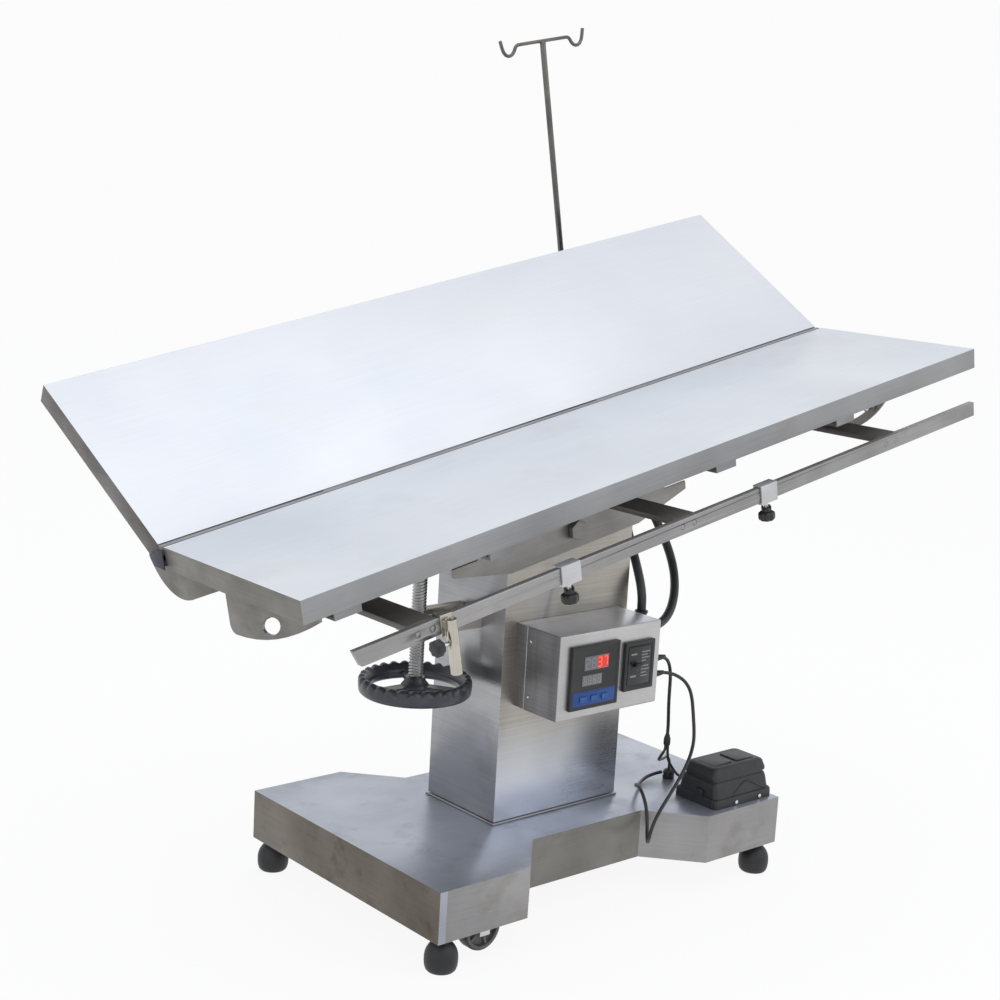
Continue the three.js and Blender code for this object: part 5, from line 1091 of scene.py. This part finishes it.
def makePedal():
    f = pedalFacts
    here = at(f["x"], f["y"], f["z"])
    skirt = roundedStack(f["half"], 6, [(1, 1, 0.3), (1, 1, 6), (0.994, 0.992, 13), (0.986, 0.98, 14.4), (0.97, 0.95, 15)])
    body = roundedStack(f["half"], 9, [(0.968, 0.94, 12), (0.955, 0.905, 18), (0.93, 0.83, 33), (0.905, 0.785, 38.5), (0.885, 0.75, 39.5), (0.872, 0.735, 45.4)])
    lugs = [slab((s * 61, s * 66.5), (-14, 2), (12, 25), 1.6, 3) for s in (-1, 1)]
    lugs += [slab((-66, -56), (-38, -20), (1, 15), 1.8, 3), slab((56, 66), (-38, -20), (1, 15), 1.8, 3)]
    rib = []
    for k in range(33):
        x = -60 + 120 * k / 32
        hump = 14 + 19 * math.exp(-((x - 12) / 26) ** 2)
        rib.append(Vector((x, -(45 * (0.93 + (0.83 - 0.93) * (hump - 8) / 25)) - 0.2, hump)) * 0.001)
    arch = makeTube("arch", rib, 0.0016)
    housing = joinAll([skirt, body, arch] + lugs)
    coat(housing, pedalMould, 38)
    lid = roundedStack(f["half"], 10, [
        (0.893, 0.758, 49.6), (0.895, 0.762, 43.6), (0.922, 0.79, 43.4), (0.926, 0.793, 45), (0.923, 0.787, 47.4), (0.915, 0.772, 50), (0.9, 0.735, 55), (0.888, 0.7, 59),
        (0.868, 0.665, 61.4), (0.83, 0.615, 62.6), (0.8, 0.585, 63)])
    for v in lid.data.vertices:                    # crown along the lid
        if v.co.z > 0.054:
            v.co.z -= 0.0022 * (abs(v.co.x) / 0.055) ** 2
    pads = [roundedStack((21, 19), 4, [(1, 1, 60.4), (1, 1, 62.1), (0.96, 0.955, 62.35)]) for s in (-1, 1)]
    for s, pad in zip((-1, 1), pads):
        settle(pad, Matrix.Translation((s * 0.0235, 0, 0.0001)) @ Matrix.Rotation(math.radians(s * 1.7), 4, "Y"))
    cap = joinAll([lid] + pads)
    coat(cap, pedalMould, 38)
    heads = []
    for x, y, h in ((-61, -38.4, 8), (-18, -45.2, 5.5), (36, -45.2, 5.5), (61, -38.4, 8), (-61, 38.4, 8), (61, 38.4, 8)):
        head = turnPiece([(3.3, 0), (3.2, 0.9), (2.5, 1.8), (1.2, 2.2)], 24)
        settle(head, Matrix.Translation((x * 0.001, y * 0.001, h * 0.001)) @ (alongMinusY if y < 0 else alongMinusY.inverted()))
        heads.append(head)
    screws = coat(joinAll(heads), brightSteel)
    gland = turnPiece([(5, 0), (5, 1.4), (4.2, 2), (3.4, 8), (2.5, 8.4)], 32)
    settle(gland, Matrix.Translation((-0.047, 0.0405, 0.024)) @ alongMinusY.inverted())
    coat(gland, blackRubber)
    for piece in (housing, cap, screws, gland):
        settle(piece, here)
    done(housing, "pedalHousing", "base", ("pedal_housing",))
    done(screws, "pedalScrews", "base")
    done(gland, "pedalGland", "base")
    done(cap, "pedalLid", "pedal", ("pedal_plate",))


# gland in the base top, cable joiner
smallFacts = {"gland": (256, -72, 126), "joiner": (203.5, -112, 203)}


def makeGland():
    nut = turnPiece([(9.2, 0.3), (10, 1.1), (10, 5.2), (9.2, 6)], 6)
    ring = turnPiece([(8.4, 5.6), (8.4, 7.4)], 36)
    dome = turnPiece([(8.6, 7.2), (9.3, 8), (9.3, 10), (8.5, 12.8), (6.6, 15), (4, 16)], 36)
    piece = joinAll([nut, ring, dome])
    settle(piece, at(*smallFacts["gland"]))
    coat(piece, blackMould)
    done(piece, "baseGland", "base", ("base_gland",))


def makeJoiner():
    boot = turnPiece([(4, 0), (4.9, 0.6), (5.4, 2), (5.4, 11), (4.9, 13), (3.9, 16.4), (3.5, 18)], 32)
    rings = [turnPiece([(5.1, h), (5.7, h + 0.6), (5.1, h + 1.2)], 32) for h in (3, 6, 9)]
    piece = joinAll([boot] + rings)
    settle(piece, at(*smallFacts["joiner"]))
    coat(piece, blackRubber)
    done(piece, "cableJoiner", "base", ("cable_joiner",))


makePedal()
makeGland()
makeJoiner()
print("foot switch made")


# tilt screw with a three-start thread, handwheel
screwFacts = {"x": -224.009, "pivot": 569.061, "shoulder": 534.76, "hub": 352.4, "outer": 11.0, "depth": 1.6, "lead": 14.0, "starts": 3}


def makeScrew():
    f = screwFacts
    tall = f["shoulder"] - f["hub"]
    around, up = 48, 468
    bpy.ops.object.select_all(action="DESELECT")
    bpy.ops.mesh.primitive_grid_add(x_subdivisions=around, y_subdivisions=up, size=1)
    thread = bpy.context.object
    for v in thread.data.vertices:
        t = 2 * math.pi * (v.co.x + 0.5)
        h = (v.co.y + 0.5) * tall
        phase = (f["starts"] * (h / f["lead"] - t / (2 * math.pi))) % 1.0
        crest = min(1.0, max(0.0, 1.6 - 4.2 * abs(phase - 0.5)))
        fade = min(1.0, h / 2.5, (tall - h) / 2.5)
        r = f["outer"] - f["depth"] * (1 - crest * fade)
        v.co = (r * math.cos(t) * 0.001, r * math.sin(t) * 0.001, (f["hub"] + h) * 0.001)
    outward(thread)
    neck = turnPiece([(7.4, 0), (8, 0.6), (8, 17.4), (7.4, 18.2)], 36)
    settle(neck, Matrix.Translation((0, 0, (f["shoulder"] - 0.2) * 0.001)))
    tail = turnPiece([(6.6, 327.8), (8, 329), (8, 353)], 36)
    shaft = joinAll([thread, neck, tail])
    coat(shaft, screwSteel, 50)
    settle(shaft, at(f["x"], 0, 0))
    done(shaft, "tiltScrew", "screw", ("tilt_screw",))


wheelFacts = {"z": 340.061, "ring": 74.5, "ripples": 28, "dip": 3.0, "spokes": 3,
              "section": [(9.5, 1), (9.4, 6), (8.4, 10.4), (5.4, 12.6), (2, 12.4), (-1, 10.4), (-4, 7), (-7, 3), (-9.2, -1),
                          (-9.2, -5), (-7.4, -9.4), (-3, -12.4), (2, -12.9), (6, -12.4), (8.4, -10), (9.2, -4.5)]}


def makeHandwheel():
    f = wheelFacts
    count = len(f["section"])
    bpy.ops.object.select_all(action="DESELECT")
    bpy.ops.mesh.primitive_torus_add(major_segments=168, minor_segments=count, major_radius=1, minor_radius=0.25)
    rim = bpy.context.object
    for v in rim.data.vertices:
        t = math.atan2(v.co.y, v.co.x)
        turn = math.atan2(v.co.z, math.hypot(v.co.x, v.co.y) - 1) % (2 * math.pi)
        out, h = f["section"][round(turn / (2 * math.pi) * count) % count]
        upper = max(0.0, min(1.0, (h - 1.5) / 7)) if out > 0 else 0.0
        dip = f["dip"] * upper * (0.5 - 0.5 * math.cos(f["ripples"] * t)) ** 1.5
        r = f["ring"] + out - dip
        v.co = (r * math.cos(t) * 0.001, r * math.sin(t) * 0.001, (h - dip) * 0.001)
    rim.data.update()
    outward(rim)
    hub = turnPiece([(17, -12), (20.5, -11), (22, -8), (22, -2), (19, 2), (15.5, 6), (14.4, 11), (13.6, 12), (9, 12)], 48)
    parts = [rim, hub]
    for i in range(f["spokes"]):
        arm = slab((12, 69), (-10, 10), (-6.5, 0.5), 0)
        editSelect(arm, lambda c, n: n.x > 0.9)
        bpy.ops.transform.resize(value=(1, 1.3, 1), center_override=(0.069, 0, -0.003))
        leaveEdit()
        roundEdges(arm, 0.0022, 3)
        settle(arm, Matrix.Rotation(2 * math.pi * (i + 0.5) / f["spokes"], 4, "Z"))
        parts.append(arm)
    wheel = joinAll(parts)
    coat(wheel, wheelMould, 40)
    settle(wheel, at(screwFacts["x"], 0, f["z"]))
    done(wheel, "handwheel", "screw", ("handwheel",))


makeScrew()
makeHandwheel()
print("tilt screw and handwheel made")


# rail clamp knobs: bright stem, pronged collar, lobed knob
clampFacts = {"spots": (-263, 118), "across": -345, "sides": ("left", "right")}


def makeClampKnobs():
    stem = coat(turnPiece([(2.6, -113), (3, -112.6), (3, -94.7), (2.5, -94.3)], 28), brightSteel)
    collar = turnPiece([(6.6, -112), (7, -111), (6.4, -107), (5.6, -106)], 32)
    prongs = []
    for k in range(6):
        prong = slab((4.6, 7.2), (-1.3, 1.3), (-109, -102.9), 0.6, 2)
        settle(prong, Matrix.Rotation(math.radians(60 * k), 4, "Z"))
        prongs.append(prong)
    knob = turnPiece([(4.5, -111.6), (9.6, -111.9), (11.4, -113), (12, -115), (12, -121), (11.2, -123.4), (9, -124.6), (4, -124.8)], 64)
    lobes(knob, 8, 0.1, -124.9, -111)
    grip = coat(joinAll([collar, knob] + prongs), blackMould, 45)
    for i, spot in enumerate(clampFacts["spots"]):
        where = on(topFrame, spot, clampFacts["across"], 0)
        body = "clamp_knob_" + clampFacts["sides"][i]
        done(cloneTo(grip, where), "clampKnob%d" % (i + 1), body, ("clamp_knob_%d" % (i + 1),))
        done(cloneTo(stem, where), "clampStem%d" % (i + 1), body)
    drop(grip, stem)


# pole clamp knobs
poleKnobFacts = {"front": (-470, -362), "back": (398, 362), "drop": -103}


def makePoleKnobs():
    stem = coat(turnPiece([(2.6, 5.3), (3, 5.8), (3, 17)], 28), brightSteel)
    knob = turnPiece([(6, 16.3), (6.6, 17.2), (6.6, 18.6), (9.8, 19.2), (11, 20.6), (11, 28.6), (10, 30.6), (7, 31.2), (3, 31.3)], 64)
    lobes(knob, 7, 0.14, 19, 31.4)
    coat(knob, blackMould, 45)
    for end in ("front", "back"):
        spot = poleKnobFacts[end]
        where = on(topFrame, spot[0], spot[1], poleKnobFacts["drop"]) @ alongMinusX
        done(cloneTo(knob, where), "poleKnob" + end.capitalize(), "pole_knob_" + end, ("pole_knob_" + end,))
        done(cloneTo(stem, where), "poleStem" + end.capitalize(), "pole_knob_" + end)
    drop(knob, stem)


# drip pole: rod, cross wire with a hook at each end
poleFacts = {"spot": (398, 362), "rod": 5.0, "foot": -140, "top": 515, "wire": 3.0, "hook": [
    (30, 0), (50, 0), (56.4, -0.2), (60, -1.8), (62.6, -5), (65.2, -9.4), (69.4, -13.8), (74.4, -15.9), (79.6, -15.9),
    (84.8, -13.4), (88.8, -8.2), (91.2, -1.6), (92.7, 4.8), (94, 10.6)]}


def makeDripPole():
    f = poleFacts
    where = on(topFrame, f["spot"][0], f["spot"][1], 0)
    half = [Vector((x, 0, f["top"] + z)) * 0.001 for x, z in f["hook"]]
    mirror = [Vector((-p.x, 0, p.z)) for p in reversed(half)]
    wire = makeTube("hookWire", mirror + [Vector((0, 0, f["top"] * 0.001))] + half, f["wire"] * 0.001)
    rod = turnPiece([(4, f["foot"]), (5, f["foot"] + 1), (5, f["top"] - 3), (4.6, f["top"] - 1), (3, f["top"])], 40)
    weld = turnPiece([(5, f["top"] - 6), (5.6, f["top"] - 3.4), (4.6, f["top"] - 1.4)], 40)
    pole = joinAll([rod, wire, weld])
    coat(pole, poleSteel, 50)
    settle(pole, where)
    done(pole, "dripPole", "drip_pole", ("iv_pole",))


# wing locks: hub, handle, bolt and nut
lockFacts = {"across": 118.737, "drop": -115.737, "nut": 628.7, "hub": 638.3}


def makeLocks():
    f = lockFacts
    nut = turnPiece([(9, f["nut"] - 6), (10, f["nut"] - 5.2), (10, f["nut"] - 0.8), (9, f["nut"])], 6)
    bolt = turnPiece([(4.4, f["nut"] - 8), (5, f["nut"] - 7.4), (5, f["hub"] + 1)], 28)
    hub = turnPiece([(11, f["hub"]), (12, f["hub"] + 1), (12, f["hub"] + 8), (9.5, f["hub"] + 11), (5.5, f["hub"] + 12)], 40)
    bar = turnPiece([(4.4, f["hub"] + 11), (3.6, f["hub"] + 18), (3.4, f["hub"] + 48), (4, f["hub"] + 54), (4, f["hub"] + 60), (3, f["hub"] + 61.8), (1.4, f["hub"] + 62)], 32)
    lock = joinAll([nut, bolt, hub, bar])
    coat(lock, brightSteel, 40)
    for s, end in ((-1, "front"), (1, "back")):
        where = on(topFrame, 0, s * f["across"], f["drop"]) @ alongX
        done(cloneTo(lock, where), "wingLock" + end.capitalize(), end + "_lock", (end + "_wing_lock",))
    drop(lock)


makeClampKnobs()
makePoleKnobs()
makeDripPole()
makeLocks()
print("clamps, pole and locks made")


# floor, world and lamps
stageLook = {"floor": (0.95, 0.95, 0.95), "glow": 0.88, "lift": 1.03, "world": 0.55, "seen": (0.972, 0.97, 0.974)}


def directRays(nodes, links):          # 1 for what the camera, metal and glass see
    rays = nodes.new("ShaderNodeLightPath")
    glossy = nodes.new("ShaderNodeMath")
    glossy.operation = "MAXIMUM"
    clear = nodes.new("ShaderNodeMath")
    clear.operation = "MAXIMUM"
    links.new(rays.outputs["Is Camera Ray"], glossy.inputs[0])
    links.new(rays.outputs["Is Glossy Ray"], glossy.inputs[1])
    links.new(glossy.outputs[0], clear.inputs[0])
    links.new(rays.outputs["Is Transmission Ray"], clear.inputs[1])
    return clear.outputs[0]


def makeFloor():
    bpy.ops.mesh.primitive_plane_add(size=14, location=(0, 0, 0))
    floor = bpy.context.object
    floor.name = "paleFloor"
    mat, nodes, links, shader = startMaterial("paleFloor")
    shader.inputs["Base Color"].default_value = (*stageLook["floor"], 1)
    shader.inputs["Roughness"].default_value = 0.9
    white = nodes.new("ShaderNodeEmission")
    white.inputs["Strength"].default_value = stageLook["lift"]
    share = nodes.new("ShaderNodeMath")
    share.operation = "MULTIPLY"
    share.inputs[1].default_value = stageLook["glow"]
    mix = nodes.new("ShaderNodeMixShader")
    links.new(directRays(nodes, links), share.inputs[0])
    links.new(share.outputs[0], mix.inputs["Fac"])
    links.new(shader.outputs["BSDF"], mix.inputs[1])
    links.new(white.outputs["Emission"], mix.inputs[2])
    links.new(mix.outputs["Shader"], nodes["Material Output"].inputs["Surface"])
    dress(floor, mat)


def makeWorld():
    world = bpy.data.worlds.new("paleStudio")
    world.use_nodes = True
    bpy.context.scene.world = world
    nodes, links = world.node_tree.nodes, world.node_tree.links
    soft = nodes["Background"]
    soft.inputs["Color"].default_value = (0.95, 0.97, 1.0, 1)
    soft.inputs["Strength"].default_value = stageLook["world"]
    seen = nodes.new("ShaderNodeBackground")
    seen.inputs["Color"].default_value = (*stageLook["seen"], 1)
    mix = nodes.new("ShaderNodeMixShader")
    links.new(directRays(nodes, links), mix.inputs["Fac"])
    links.new(soft.outputs["Background"], mix.inputs[1])
    links.new(seen.outputs["Background"], mix.inputs[2])
    links.new(mix.outputs["Shader"], nodes["World Output"].inputs["Surface"])


lamps = {
    "ceilingSoftbox": {"spot": (-0.2, -0.3, 3.4), "aim": (0, 0, 0.6), "size": (3.6, 3.0), "power": 26, "tint": (0.97, 0.985, 1.0)},
    "frontSoftbox": {"spot": (1.6, -3.6, 2.2), "aim": (0, 0, 0.5), "size": (2.6, 2.2), "power": 17, "tint": (1.0, 0.99, 0.97)},
    "leftFill": {"spot": (-3.6, -1.0, 1.6), "aim": (0, 0, 0.5), "size": (2.0, 2.0), "power": 8, "tint": (1.0, 0.97, 0.93)},
}


def makeLamps():
    for name, facts in lamps.items():
        bpy.ops.object.light_add(type="AREA", location=facts["spot"])
        lamp = bpy.context.object
        lamp.name = name
        lamp.data.shape = "RECTANGLE"
        lamp.data.size, lamp.data.size_y = facts["size"]
        lamp.data.energy = facts["power"]
        lamp.data.color = facts["tint"]
        aim = Vector(facts["aim"]) - Vector(facts["spot"])
        lamp.rotation_euler = aim.to_track_quat("-Z", "Y").to_euler()


makeFloor()
makeWorld()
makeLamps()
print("stage and lamps set")
